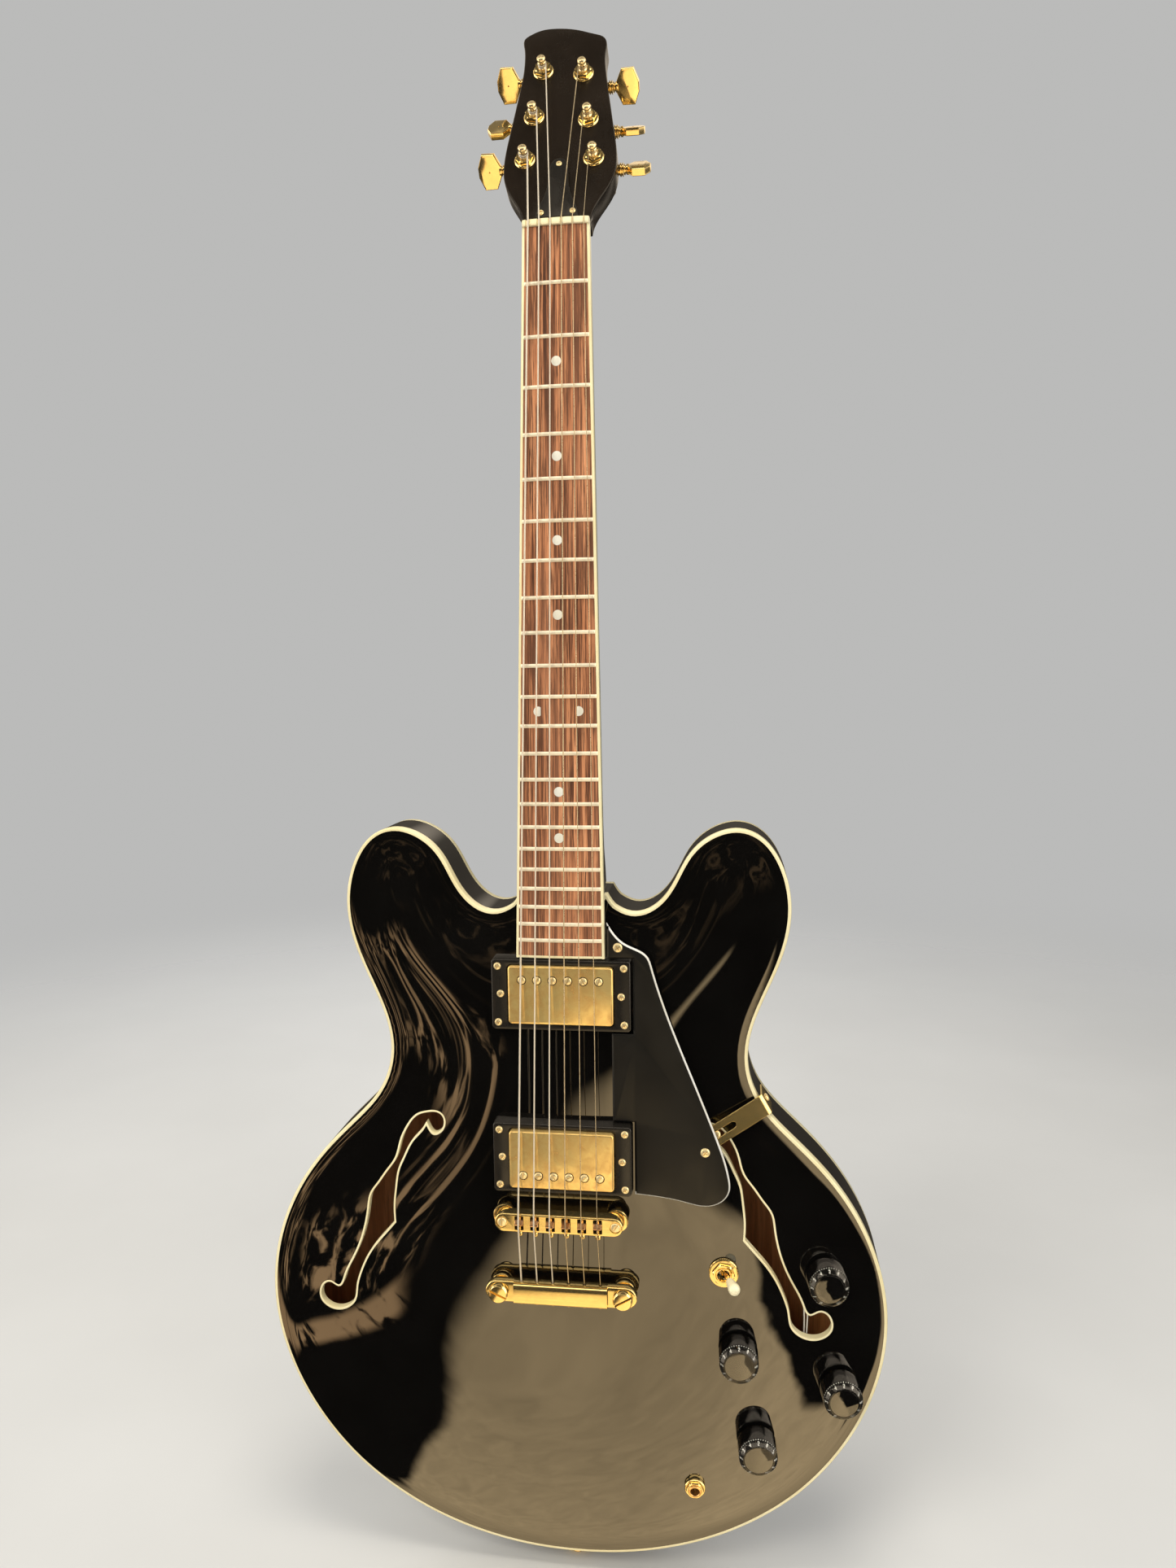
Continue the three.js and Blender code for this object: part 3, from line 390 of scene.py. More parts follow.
NICKEL = plain_metal("nickel_posts", base=(0.98, 0.80, 0.46), rough=0.18, metal=0.85)
FRET = plain_metal("fret_wire", base=(1.0, 0.90, 0.68), rough=0.34, metal=0.35)
PLAIN_STRING = plain_metal("plain_string_steel", base=(0.58, 0.48, 0.31), rough=0.26, metal=0.75)
WOUND_STRING = wound("wound_string_nickel", base=(1.0, 0.92, 0.76))
SATIN = plastic("guard_plastic", base=(0.0075, 0.0072, 0.0062), rough=0.34, spec=0.35)
PLASTIC = plastic("ring_plastic", base=(0.0125, 0.0110, 0.0090), rough=0.20, speck=0.03)
KNOB_BLACK = lacquer("knob_black", base=(0.0022, 0.0020, 0.0018), rough=(0.010, 0.018),
                     peel=0.0, coat=0.6)
CLEAR = acrylic("knob_clear")
CLEAR_SLOPE = acrylic("knob_clear_slope", spec=0.30)
KNOB_SLOPE = plastic("knob_black_slope", base=(0.0026, 0.0025, 0.0023), rough=0.30, speck=0.0,
                     spec=0.10)
NUMERAL = cream("numeral_white", base=(0.88, 0.86, 0.78), rough=0.4)
FELT = felt("felt_washer", base=(0.02, 0.02, 0.02))
# near black: the side dots' own colour, and painted shade in the pole holes, saddle pockets and
# jack hole
DARK = plastic("black_dots_and_painted_shade", base=(0.006, 0.005, 0.004), rough=0.6, speck=0.0)
WIRE = cream("wire_white", base=(0.80, 0.76, 0.66), rough=0.4)


# ---------------------------------------------------------------- objects
# A shape is a pair: points in mm, faces as tuples of point numbers.
def smooth(mesh, sharp):
    mesh.shade_smooth()
    mesh.set_sharp_from_angle(angle=math.radians(sharp))


def mesh_object(name, shape, materials, indices=None, sharp=38.0, clean=True):
    points, faces = shape
    mesh = bpy.data.meshes.new(name)
    mesh.from_pydata((np.asarray(points, float) * MM).tolist(), [],
                     [tuple(int(i) for i in face) for face in faces])
    for material in (materials if isinstance(materials, list) else [materials]):
        mesh.materials.append(material)
    if indices is not None:
        mesh.polygons.foreach_set("material_index", np.asarray(indices, np.int32))
    if clean:
        bm = bmesh.new()
        bm.from_mesh(mesh)
        bmesh.ops.remove_doubles(bm, verts=bm.verts, dist=1e-7)
        bmesh.ops.recalc_face_normals(bm, faces=bm.faces)
        bm.to_mesh(mesh)
        bm.free()
    smooth(mesh, sharp)
    obj = bpy.data.objects.new(name, mesh)
    bpy.context.scene.collection.objects.link(obj)
    return obj


def cut(obj, shapes):
    """Cuts the shapes out of the object."""
    cutters = [mesh_object("cutter", shape, obj.data.materials[0]) for shape in shapes]
    for cutter in cutters:
        boolean = obj.modifiers.new("cut", "BOOLEAN")
        boolean.operation, boolean.object, boolean.solver = "DIFFERENCE", cutter, "EXACT"
    depsgraph = bpy.context.evaluated_depsgraph_get()
    mesh = bpy.data.meshes.new_from_object(obj.evaluated_get(depsgraph))
    obj.modifiers.clear()
    obj.data = mesh
    for cutter in cutters:
        bpy.data.objects.remove(cutter)
    smooth(mesh, 38)


def register(obj, body="guitar", replaces=None):
    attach(obj, body)
    if replaces:
        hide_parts(replaces)


def part(name, shape, materials, slot, body="guitar", replaces=None, cuts=(), **mesh_options):
    obj = mesh_object(name, shape, materials, **mesh_options)
    if cuts:
        cut(obj, cuts)
    register(obj, body, replaces)


def join_shapes(shapes):
    points, faces, offset = [], [], 0
    for some_points, some_faces in shapes:
        points.append(np.asarray(some_points, float))
        faces += [tuple(i + offset for i in face) for face in some_faces]
        offset += len(some_points)
    return np.vstack(points), faces


# ---------------------------------------------------------------- solids
X_AXIS = np.array((1.0, 0, 0))
FRONT = (0, -1, 0)
CORNERS = ((-1, -1), (1, -1), (1, 1), (-1, 1))
SIDES = ((-1, "bass"), (1, "treble"))


def turn_angles(count):
    return np.arange(count) / count * 2 * np.pi


def axes_about(axis):
    """Two unit vectors square to the axis, and the unit axis."""
    axis = np.array(axis, float)
    axis /= np.linalg.norm(axis)
    hint = np.array((0, 0, 1), float)
    if abs(hint @ axis) > 0.95:
        hint = X_AXIS
    across = np.cross(hint, axis)
    across /= np.linalg.norm(across)
    return across, np.cross(axis, across), axis


def lathe(profile, centre, axis, segments, knurl=None):
    """Solid turned about an axis through centre.

    profile holds (radius, height) and starts and ends on the axis or closes on itself;
    knurl is (profile rows, amount added to every second radius).
    """
    across, up, along = axes_about(axis)
    centre = np.array(centre, float)
    on_axis = profile[0][0] == 0 and profile[-1][0] == 0
    knurl_rows, knurl_depth = knurl or ((), 0)
    points, rows = [], []
    for k, (radius, height) in enumerate(profile):
        if radius == 0:
            rows.append([len(points)] * segments)
            points.append(centre + along * height)
            continue
        rows.append(list(range(len(points), len(points) + segments)))
        for i, angle in enumerate(turn_angles(segments)):
            reach = radius + (knurl_depth if k in knurl_rows and i % 2 else 0)
            points.append(centre + across * reach * math.cos(angle)
                          + up * reach * math.sin(angle) + along * height)
    faces = []
    for k in range(len(rows) - 1 if on_axis else len(rows)):
        row, following = rows[k], rows[(k + 1) % len(rows)]
        for i in range(segments):
            j = (i + 1) % segments
            face = tuple(dict.fromkeys((row[i], row[j], following[j], following[i])))
            if len(face) > 2:
                faces.append(face)
    return np.array(points), faces


def rod(radius, low, high):
    """Lathe profile of a cylinder."""
    return [(0, low), (radius, low), (radius, high), (0, high)]


def band(inner, outer, low, high):
    """Lathe profile of a flat washer."""
    return [(inner, low), (outer, low), (outer, high), (inner, high), (inner, low)]


def rounded(profile, radius, steps=4):
    """Rounds the corners of a profile; its first and last points stay."""
    profile = [np.array(q, float) for q in profile]
    out = [profile[0]]
    for before, corner, after in zip(profile, profile[1:], profile[2:]):
        back, ahead = before - corner, after - corner
        back_len, ahead_len = np.linalg.norm(back), np.linalg.norm(ahead)
        if back_len < 1e-6 or ahead_len < 1e-6:
            continue
        back, ahead = back / back_len, ahead / ahead_len
        half_angle = math.acos(float(np.clip(back @ ahead, -1, 1))) / 2
        if half_angle > math.radians(84):
            out.append(corner)
            continue
        reach = min(radius / math.tan(half_angle), back_len * 0.45, ahead_len * 0.45)
        start, end = corner + back * reach, corner + ahead * reach
        for k in range(steps + 1):
            t = k / steps
            out.append((1 - t) ** 2 * start + 2 * t * (1 - t) * corner + t ** 2 * end)
    out.append(profile[-1])
    return [(max(0.0, float(q[0])), float(q[1])) for q in out]


def grid_faces(rows, columns, closed):
    """Quads between rows of points; closed also joins the last row to the first."""
    return [(k * columns + i, k * columns + (i + 1) % columns,
             (k + 1) % rows * columns + (i + 1) % columns, (k + 1) % rows * columns + i)
            for k in range(rows if closed else rows - 1) for i in range(columns)]


def loft(rings):
    """Solid through rings of points, capped at both ends."""
    count, size = len(rings), len(rings[0])
    caps = [tuple(range(size)), tuple(range((count - 1) * size, count * size))]
    return (np.vstack([np.asarray(ring, float) for ring in rings]),
            grid_faces(count, size, False) + caps)


def ring_loop(rings):
    """Rings of points joined round in a closed loop."""
    return np.vstack(rings), grid_faces(len(rings), len(rings[0]), True)


def tube(path, radius, sides):
    path = [np.array(q, float) for q in path]
    steps = [(b - a) / max(1e-9, np.linalg.norm(b - a)) for a, b in zip(path, path[1:])]
    tangents = [steps[0]] + [a + b for a, b in zip(steps, steps[1:])] + [steps[-1]]
    tangents = [t / np.linalg.norm(t) for t in tangents]
    across = np.cross(tangents[0], (0.3, 0.9, 0.1))
    across /= np.linalg.norm(across)
    rings = []
    for centre, tangent in zip(path, tangents):
        across = across - tangent * (across @ tangent)
        across /= np.linalg.norm(across)
        up = np.cross(tangent, across)
        rings.append([centre + radius * (across * math.cos(a) + up * math.sin(a))
                      for a in turn_angles(sides)])
    return loft(rings)


# ---------------------------------------------------------------- flat outlines
def spline(knots, step, start_slope=None):
    """Natural cubic through the knots, or clamped at its start, sampled about every step."""
    knots = np.array(knots, float)
    count = len(knots)
    gaps = np.linalg.norm(np.diff(knots, axis=0), axis=1)
    at = np.r_[0, np.cumsum(gaps)]
    samples = np.linspace(0, at[-1], max(2, int(round(at[-1] / step)) + 1))
    if count == 2:
        return knots[0] + (knots[1] - knots[0]) * (samples / at[-1])[:, None]
    matrix, target = np.zeros((count, count)), np.zeros((count, 2))
    matrix[0, 0] = matrix[-1, -1] = 1
    if start_slope is not None:
        matrix[0, 0], matrix[0, 1] = 2 * gaps[0], gaps[0]
        target[0] = 6 * ((knots[1] - knots[0]) / gaps[0] - np.array(start_slope))
    for i in range(1, count - 1):
        matrix[i, i - 1:i + 2] = gaps[i - 1], 2 * (gaps[i - 1] + gaps[i]), gaps[i]
        target[i] = 6 * ((knots[i + 1] - knots[i]) / gaps[i]
                         - (knots[i] - knots[i - 1]) / gaps[i - 1])
    curve = np.linalg.solve(matrix, target)
    k = np.clip(np.searchsorted(at, samples, side="right") - 1, 0, count - 2)
    gap = gaps[k]
    a, b = (at[k + 1] - samples) / gap, (samples - at[k]) / gap
    bend = (a ** 3 - a)[:, None] * curve[k] + (b ** 3 - b)[:, None] * curve[k + 1]
    return a[:, None] * knots[k] + b[:, None] * knots[k + 1] + bend * (gap ** 2)[:, None] / 6


def closed_path(knots, corners, step):
    """Smooth closed outline with sharp corners at the given knots."""
    count = len(knots)
    return np.vstack([spline([knots[i % count] for i in range(a, b + 1)], step)[:-1]
                      for a, b in zip(corners, corners[1:] + [corners[0] + count])])


def inset(outline, distance):
    """Moves an anticlockwise outline inwards, with mitres of at most three distances."""
    outline = np.asarray(outline, float)
    edges = np.roll(outline, -1, 0) - outline
    lengths = np.linalg.norm(edges, axis=1, keepdims=True)
    normals = np.c_[-edges[:, 1], edges[:, 0]] / np.maximum(lengths, 1e-9)
    mitre = normals + np.roll(normals, 1, 0)
    scale = 2 / np.maximum((mitre * mitre).sum(1, keepdims=True), 4 / 3.0 ** 2)
    return outline + mitre * scale * distance


def anticlockwise(outline):
    outline = np.asarray(outline, float)
    x, y = outline.T
    area = float((x * np.roll(y, -1) - np.roll(x, -1) * y).sum() / 2)
    return outline[::-1] if area < 0 else outline


def round_rect(half_w, half_h, radius, steps):
    out = []
    for x, y, start in ((half_w - radius, -half_h + radius, -90),
                        (half_w - radius, half_h - radius, 0),
                        (-half_w + radius, half_h - radius, 90),
                        (-half_w + radius, -half_h + radius, 180)):
        for i in range(steps + 1):
            angle = math.radians(start + 90 * i / steps)
            out.append((x + radius * math.cos(angle), y + radius * math.sin(angle)))
    return np.array(out)


def slab(outline, start, end, start_round, end_round, place, steps=4):
    """Slab between two heights with rounded rims; place(x, y, height) gives the point."""
    outline = anticlockwise(outline)
    sign = 1 if end > start else -1
    angles = [math.pi / 2 * i / steps for i in range(steps + 1)]
    levels = [(outline, start)]
    if start_round > 0:
        levels = [(inset(outline, start_round * (1 - math.sin(a))),
                   start + sign * start_round * (1 - math.cos(a))) for a in angles]
    if end_round > 0:
        levels += [(inset(outline, end_round * (1 - math.cos(a))),
                    end - sign * end_round * (1 - math.sin(a))) for a in angles]
    else:
        levels.append((outline, end))
    return loft([[place(x, y, height) for x, y in path] for path, height in levels])


def in_front(x, z, height):
    """Point at a height in front of y = 0."""
    return (x, -height, z)


def outline_distance(points, outline):
    """Distance of each point to a closed outline."""
    best = np.full(len(points), 1e18)
    for start, edge in zip(outline, np.roll(outline, -1, 0) - outline):
        offset = points - start
        t = np.clip((offset @ edge) / max(1e-12, edge @ edge), 0, 1)
        gap = offset - t[:, None] * edge
        best = np.minimum(best, (gap * gap).sum(1))
    return np.sqrt(best)


def line_distance(point, line):
    """Distance of one point to an open line."""
    best = 1e9
    for start, edge in zip(line, np.diff(line, axis=0)):
        t = np.clip((point - start) @ edge / (edge @ edge), 0, 1)
        best = min(best, float(np.linalg.norm(point - start - edge * t)))
    return best


def inside(points, outline):
    x, y = points.T
    result = np.zeros(len(points), bool)
    for (x0, y0), (x1, y1) in zip(outline, np.roll(outline, -1, 0)):
        if y0 != y1:
            result ^= ((y0 > y) != (y1 > y)) & (x < (x1 - x0) * (y - y0) / (y1 - y0) + x0)
    return result


# ---------------------------------------------------------------- body outline and arch
def body_outline():
    half = spline(np.array(BODY_HALF, float) + (0, SCALE_Z), 3.0, start_slope=(1.0, 0.0))
    for _ in range(6):                        # soften the run of the points
        soft = half.copy()
        soft[1:-1] = 0.25 * half[:-2] + 0.5 * half[1:-1] + 0.25 * half[2:]
        soft[0] = (0, min(0.5 * half[0, 1] + 0.5 * half[1, 1], half[0, 1] + 0.02))
        soft[-4:] = half[-4:]
        half = soft
    neck_end = np.c_[np.linspace(29, -29, 13)[1:-1], np.full(11, BODY_END_Z)]
    return np.vstack([half, neck_end, (half[::-1] * (-1, 1))[:-1]])


OUTLINE = body_outline()
GRID_STEP = 2.0
GRID_X = np.arange(-216, 217, GRID_STEP)
GRID_Z = np.arange(BODY_BASE_Z - 6, SCALE_Z + 254, GRID_STEP)


def blur(grid, sigma):
    kernel = np.exp(-0.5 * (np.arange(-int(3 * sigma), int(3 * sigma) + 1) / sigma) ** 2)
    kernel /= kernel.sum()
    for axis in (0, 1):
        grid = np.apply_along_axis(
            lambda row: np.convolve(np.pad(row, len(kernel) // 2, mode="edge"), kernel, "valid"),
            axis, grid)
    return grid


def arch_grid():
    """Rise of the arch, 0 to 1: flat at the binding, a soft recurve, then the dome."""
    x, z = np.meshgrid(GRID_X, GRID_Z)
    points = np.c_[x.ravel(), z.ravel()]
    depth = outline_distance(points, OUTLINE)
    depth[~inside(points, OUTLINE)] = 0
    climb = np.where(depth < 3.5, 0, np.where(depth < 12.5, (depth - 3.5) ** 2 / 18.0,
                                              depth - 8.0))
    raw = (1 - (1 - np.clip(climb / 106.0, 0, 1)) ** 1.9).reshape(x.shape)
    weight = np.clip((depth.reshape(x.shape) - 6) / 34.0, 0, 1)
    weight = weight * weight * (3 - 2 * weight)
    return blur(raw * (1 - weight) + blur(raw, 7.0) * weight, 1.2)


RISE = arch_grid()
SLOPE_Z, SLOPE_X = np.gradient(RISE, GRID_STEP)


def sample(grid, x, z):
    column = (np.asarray(x, float) - GRID_X[0]) / GRID_STEP
    row = (np.asarray(z, float) - GRID_Z[0]) / GRID_STEP
    i = np.clip(column.astype(int), 0, len(GRID_X) - 2)
    j = np.clip(row.astype(int), 0, len(GRID_Z) - 2)
    a, b = column - i, row - j
    return (grid[j, i] * (1 - a) * (1 - b) + grid[j, i + 1] * a * (1 - b)
            + grid[j + 1, i] * (1 - a) * b + grid[j + 1, i + 1] * a * b)


def top_y(x, z):
    return -RIM_HALF - TOP_ARCH * float(sample(RISE, x, z))


def back_y(x, z):
    return RIM_HALF + BACK_ARCH * float(sample(RISE, x, z))


def control_point(place):
    """Where the axis of a control starts, on a simpler arch; place is x, z from SCALE_Z."""
    x, z = place[0], SCALE_Z + place[1]
    depth = line_distance((x, z), np.array(CONTROL_OUTLINE) + (0, SCALE_Z))
    t = min(1.0, max(0.0, (depth - 4) / 110.0))
    return np.array((x, -RIM_HALF - TOP_ARCH * (1 - (1 - t) ** 1.9), z))


# ---------------------------------------------------------------- body
def clear_of(points, holes, gap):
    clear = np.ones(len(points), bool)
    for hole in holes:
        clear &= (outline_distance(points, hole) > gap) & ~inside(points, hole)
    return clear


def plate_triangles(holes):
    """Points (x, z) and triangles of a plate: rings near its edge, a lattice further in."""
    edge = inset(OUTLINE, BINDING_T + 0.03)
    inner = []
    for depth in (3.4, 4.6, 6.0, 7.6, 9.4, 11.4, 13.8, 16.8, 20.0):
        ring = inset(OUTLINE, depth)[::2]
        keep = (outline_distance(ring, OUTLINE) > depth - 0.25) & inside(ring, OUTLINE)
        inner.append(ring[keep & clear_of(ring, holes, 1.4)])
    pitch = 4.6
    lattice = np.array([
        (x + (pitch / 2 if k % 2 else 0), z)
        for k, z in enumerate(np.arange(BODY_BASE_Z, SCALE_Z + 250, pitch * 0.866))
        for x in np.arange(-214, 214, pitch)])
    lattice = lattice[inside(lattice, OUTLINE)]
    keep = (outline_distance(lattice, OUTLINE) > 22.5) & clear_of(lattice, holes, 1.6)
    inner.append(lattice[keep])
    points, edges = [], []
    for loop in [edge] + holes:
        first = len(points)
        points += [tuple(q) for q in loop]
        edges += [(first + i, first + (i + 1) % len(loop)) for i in range(len(loop))]
    points += [tuple(q) for q in np.vstack(inner)]
    flat, _, triangles, _, _, _ = delaunay_2d_cdt([Vector(q) for q in points], edges, [], 0,
                                                  1e-4, True)
    flat = np.array([tuple(q) for q in flat])
    triangles = np.array([t for t in triangles if len(t) == 3])
    centres = flat[triangles].mean(1)
    keep = inside(centres, edge)
    for hole in holes:
        keep &= ~inside(centres, hole)
    return flat, triangles[keep]


def face_normals(mesh):
    normals = np.zeros(len(mesh.polygons) * 3)
    mesh.polygons.foreach_get("normal", normals)
    return normals.reshape(-1, 3)


def plate(name, sign, arch, holes, replaces):
    """Carved plate at y of the given sign: arched outside, parallel inside, closed edges."""
    flat, triangles = plate_triangles(holes)
    x, z = flat.T
    outer = sign * (RIM_HALF + arch * sample(RISE, x, z))
    inner = sign * (RIM_HALF + arch * sample(RISE, x, z) - PLATE_T)
    points = np.vstack([np.c_[x, outer, z], np.c_[x, inner, z]])
    count = len(flat)
    faces, indices, directed = [], [], {}
    for a, b, c in triangles:
        if sign > 0:
            faces += [(a, b, c), (count + a, count + c, count + b)]
        else:
            faces += [(a, c, b), (count + a, count + b, count + c)]
        indices += [0, 1]
        directed.update(dict.fromkeys(((a, b), (b, c), (c, a))))
    for a, b in directed:
        if (b, a) not in directed:
            faces.append((a, count + a, count + b, b))
            indices.append(1)
    obj = mesh_object(name, (points, faces), [BLACK, WOOD], indices=indices, sharp=35,
                      clean=False)
    mesh = obj.data
    if face_normals(mesh)[0, 1] * sign < 0:
        mesh.flip_normals()
    # the lacquered face takes its normals from the slope of the arch
    smooth_normals = np.c_[-arch * sample(SLOPE_X, x, z), np.full(count, sign),
                           -arch * sample(SLOPE_Z, x, z)]
    smooth_normals /= np.linalg.norm(smooth_normals, axis=1, keepdims=True)
    flat_normals = face_normals(mesh)
    corner_normals = np.zeros((len(mesh.loops), 3))
    corner_points = np.zeros(len(mesh.loops), np.int32)
    mesh.loops.foreach_get("vertex_index", corner_points)
    for face in mesh.polygons:
        span = slice(face.loop_start, face.loop_start + face.loop_total)
        if face.material_index == 0:
            corner_normals[span] = smooth_normals[corner_points[span]]
        else:
            corner_normals[span] = flat_normals[face.index]
    mesh.normals_split_custom_set([tuple(q) for q in corner_normals])
    register(obj, replaces=replaces)


def loop_sweep(name, loop, section, materials, slot, row_materials=None, on_top=False,
               replaces=None):
    """Section of (inset, y) carried round a closed (x, z) loop; on_top counts y from the top."""
    rings = [[(x, top_y(x, z) + y if on_top else y, z) for x, z in inset(loop, distance)]
             for distance, y in section]
    indices = np.repeat(row_materials, len(loop)) if row_materials else None
    part(name, ring_loop(rings), materials, slot, replaces=replaces, indices=indices, sharp=40)


treble_hole = closed_path([(x, SCALE_Z + z) for x, z in F_HOLE], F_HOLE_CORNERS, 1.4)
f_holes = [treble_hole, treble_hole[::-1] * (-1, 1)]
pickup_holes = [round_rect(37.5, 20.5, 3, 3) + (0, z) for z in (NECK_PICKUP_Z, BRIDGE_PICKUP_Z)]
plate("top_plate", -1, TOP_ARCH, f_holes + pickup_holes, "body_top")
plate("back_plate", 1, BACK_ARCH, [], "body_back")

F_BINDING_T = 1.3
F_BINDING = [(0.02, 5.15), (0.02, -0.02), (0.3, -0.14), (F_BINDING_T - 0.25, -0.14),
             (F_BINDING_T, 0.1), (F_BINDING_T, 5.15)]
for hole, side in zip(f_holes, ("treble", "bass")):
    loop_sweep("fhole_binding_" + side, anticlockwise(hole), F_BINDING, CREAM, "cream_binding",
               on_top=True)
# edge binding: inset, distance from the middle plane of the rim
EDGE_BINDING = [
    (0, RIM_HALF - BINDING_DEPTH), (0, 20.9), (0.12, 21.35), (0.38, 21.72), (0.75, 21.93),
    (1.2, RIM_HALF), (BINDING_T, RIM_HALF), (BINDING_T, RIM_HALF - BINDING_DEPTH)]
for sign, side, replaced in ((-1, "front", "top_binding"), (1, "back", "back_binding")):
    loop_sweep("binding_" + side, OUTLINE, [(d, sign * y) for d, y in EDGE_BINDING], CREAM,
               "cream_binding", replaces=replaced)
loop_sweep("rim_side", OUTLINE,
           [(0, -15.47), (0, -8), (0, 0), (0, 8), (0, 15.47), (4, 15.47), (4, -15.47)],
           [BLACK, WOOD], "black_body", row_materials=[0, 0, 0, 0, 1, 1, 1],
           replaces="body_frame")
LINING = [(4.05, 6.5), (4.05, 16.6), (10.5, 16.6), (10.5, 13.5), (6.5, 6.5)]
for sign, side in ((-1, "front"), (1, "back")):
    loop_sweep("lining_" + side, OUTLINE, [(d, sign * y) for d, y in LINING], MAPLE,
               "black_body")

# centre block between the plates, narrower towards the neck, pocketed under the pickups
rings = []
for z in np.linspace(BODY_BASE_Z + 5, BODY_END_Z - 3, 34):
    across = np.linspace(-1, 1, 9) * (50 - 26 * min(1, max(0, (z - SCALE_Z - 135) / 25)))
    rings.append([(x, top_y(x, z) + PLATE_T + 0.1, z) for x in across]
                 + [(x, back_y(x, z) - PLATE_T - 0.1, z) for x in across[::-1]])
part("centre_block", loft(rings), MAPLE, "black_body",
     cuts=[slab(round_rect(38, 21, 3, 3) + (0, z), 60, -8, 0, 0, in_front)
           for z in (NECK_PICKUP_Z, BRIDGE_PICKUP_Z)])

# ---------------------------------------------------------------- neck frames
NECK_UP = np.array((0, math.sin(NECK_TILT), math.cos(NECK_TILT)))
NECK_BACK = np.array((0, math.cos(NECK_TILT), -math.sin(NECK_TILT)))
NECK_FOOT = np.array((0, -RIM_HALF - NECK_RISE, SCALE_Z))


def neck_pt(s, x, behind):
    """Point s from the nut towards the bridge, behind the board plane."""
    return NECK_FOOT + X_AXIS * x + NECK_UP * (SCALE_LENGTH - s) + NECK_BACK * behind


HEAD_FOOT = neck_pt(-4, 0, BOARD_T)
HEAD_UP = np.array((0, math.sin(NECK_TILT + HEAD_TILT), math.cos(NECK_TILT + HEAD_TILT)))
HEAD_BACK = np.array((0, math.cos(NECK_TILT + HEAD_TILT), -math.sin(NECK_TILT + HEAD_TILT)))
HEAD_FRONT = -HEAD_BACK


def head_pt(x, s, behind):
    """Point s up the headstock, behind its face."""
    return HEAD_FOOT + X_AXIS * x + HEAD_UP * s + HEAD_BACK * behind


def fret_s(number):
    return SCALE_LENGTH * (1 - 2 ** (-number / 12))


def fret_gap_s(number):
    """Middle between a fret and the one before it."""
    return (fret_s(number) + fret_s(number - 1)) / 2


def board_half_w(s):
    return (NUT_W + (BOARD_END_W - NUT_W) * s / fret_s(22)) / 2


def camber(x):
    return x * x / (2 * BOARD_CAMBER_R)


BOARD_END = fret_s(22) + 11.6

# ---------------------------------------------------------------- neck and headstock
# s, depth, squareness of the section (smaller is squarer)
SHAFT = np.array([
    (-6, 20.5, 0.8), (4, 20.5, 0.8), (36, 20.8, 0.8), (200, 21.8, 0.8), (320, 23.2, 0.8),
    (360, 24.3, 0.77), (380, 26.6, 0.68), (392, 31.2, 0.56), (402, 39.5, 0.47),
    (410, 46.6, 0.42), (418, 49.2, 0.40), (434, 49.8, 0.4)])
# headstock end of the shaft: half width, depth, squareness, distance up the headstock
SHAFT_TOP = [(32.5, 14.6, 0.3, 27), (28.5, 15.2, 0.42, 19), (24.4, 16.4, 0.58, 11),
             (22.3, 18.0, 0.70, 4.5)]


def shaft_ring(half_w, depth, squareness, place, front=BOARD_T + 0.02):
    ring = []
    for i in range(21):
        cosine, sine = math.cos(math.pi * i / 20), math.sin(math.pi * i / 20)
        ring.append(place(half_w * math.copysign(abs(cosine) ** squareness, cosine),
                          front + (depth - front) * sine ** 0.75))
    return ring


rings = [shaft_ring(half_w, depth, squareness, lambda x, n: head_pt(x, s, n), front=0.6)
         for half_w, depth, squareness, s in SHAFT_TOP]
rings.append(shaft_ring(21.6, 19.8, 0.78, lambda x, n: neck_pt(-1.6, x, n), front=5.5))
for s in np.r_[np.arange(4, 360, 12), np.arange(360, 436, 3.0)]:
    near = s + np.array((-6, -3, 0, 3, 6))      # averaged to ease the kinks between stations
    depth, squareness = (np.interp(near, SHAFT[:, 0], SHAFT[:, k]).mean() for k in (1, 2))
    rings.append(shaft_ring(board_half_w(s) - 0.03, depth, squareness,
                            lambda x, n: neck_pt(s, x, n)))
part("neck_shaft", loft(rings), BLACK, "black_body", replaces="neck", sharp=50)

# tongue between the board and the top
rings = []
for z in np.linspace(SCALE_Z + 165.6, BODY_END_Z + 8, 10):
    front_y = -RIM_HALF - NECK_RISE + (z - SCALE_Z) * math.tan(NECK_TILT) + BOARD_T + 0.05
    rear_y = max(top_y(0, min(z, BODY_END_Z - 6)) + 3.5, -30)
    rings.append([(x, front_y, z) for x in np.linspace(-27.4, 27.4, 7)]
                 + [(x, rear_y, z) for x in np.linspace(27.4, -27.4, 7)])
part("neck_tongue", loft(rings), BLACK, "black_body")

head = HEAD_SIDE + HEAD_CROWN + [(-x, s) for x, s in reversed(HEAD_SIDE)]
part("headstock", slab(closed_path(head, [0, len(head) - 1], 2.2), 0.0, HEAD_T, 1.0, 2.4,
                       head_pt), HEAD_BLACK, "black_body", sharp=50)

# ---------------------------------------------------------------- fingerboard
BOARD_BINDING_T = 1.7
WOOD_END = BOARD_END - BOARD_BINDING_T
BOARD_STATIONS = np.r_[np.arange(0.0, WOOD_END, 9.0), WOOD_END]

rings = []
for s in BOARD_STATIONS:
    half = board_half_w(s) - BOARD_BINDING_T - 0.02
    rings.append([neck_pt(s, x, camber(x)) for x in np.linspace(half, -half, 17)]
                 + [neck_pt(s, -half, BOARD_T), neck_pt(s, half, BOARD_T)])
part("fingerboard", loft(rings), ROSE, "fretboard", replaces="fretboard")

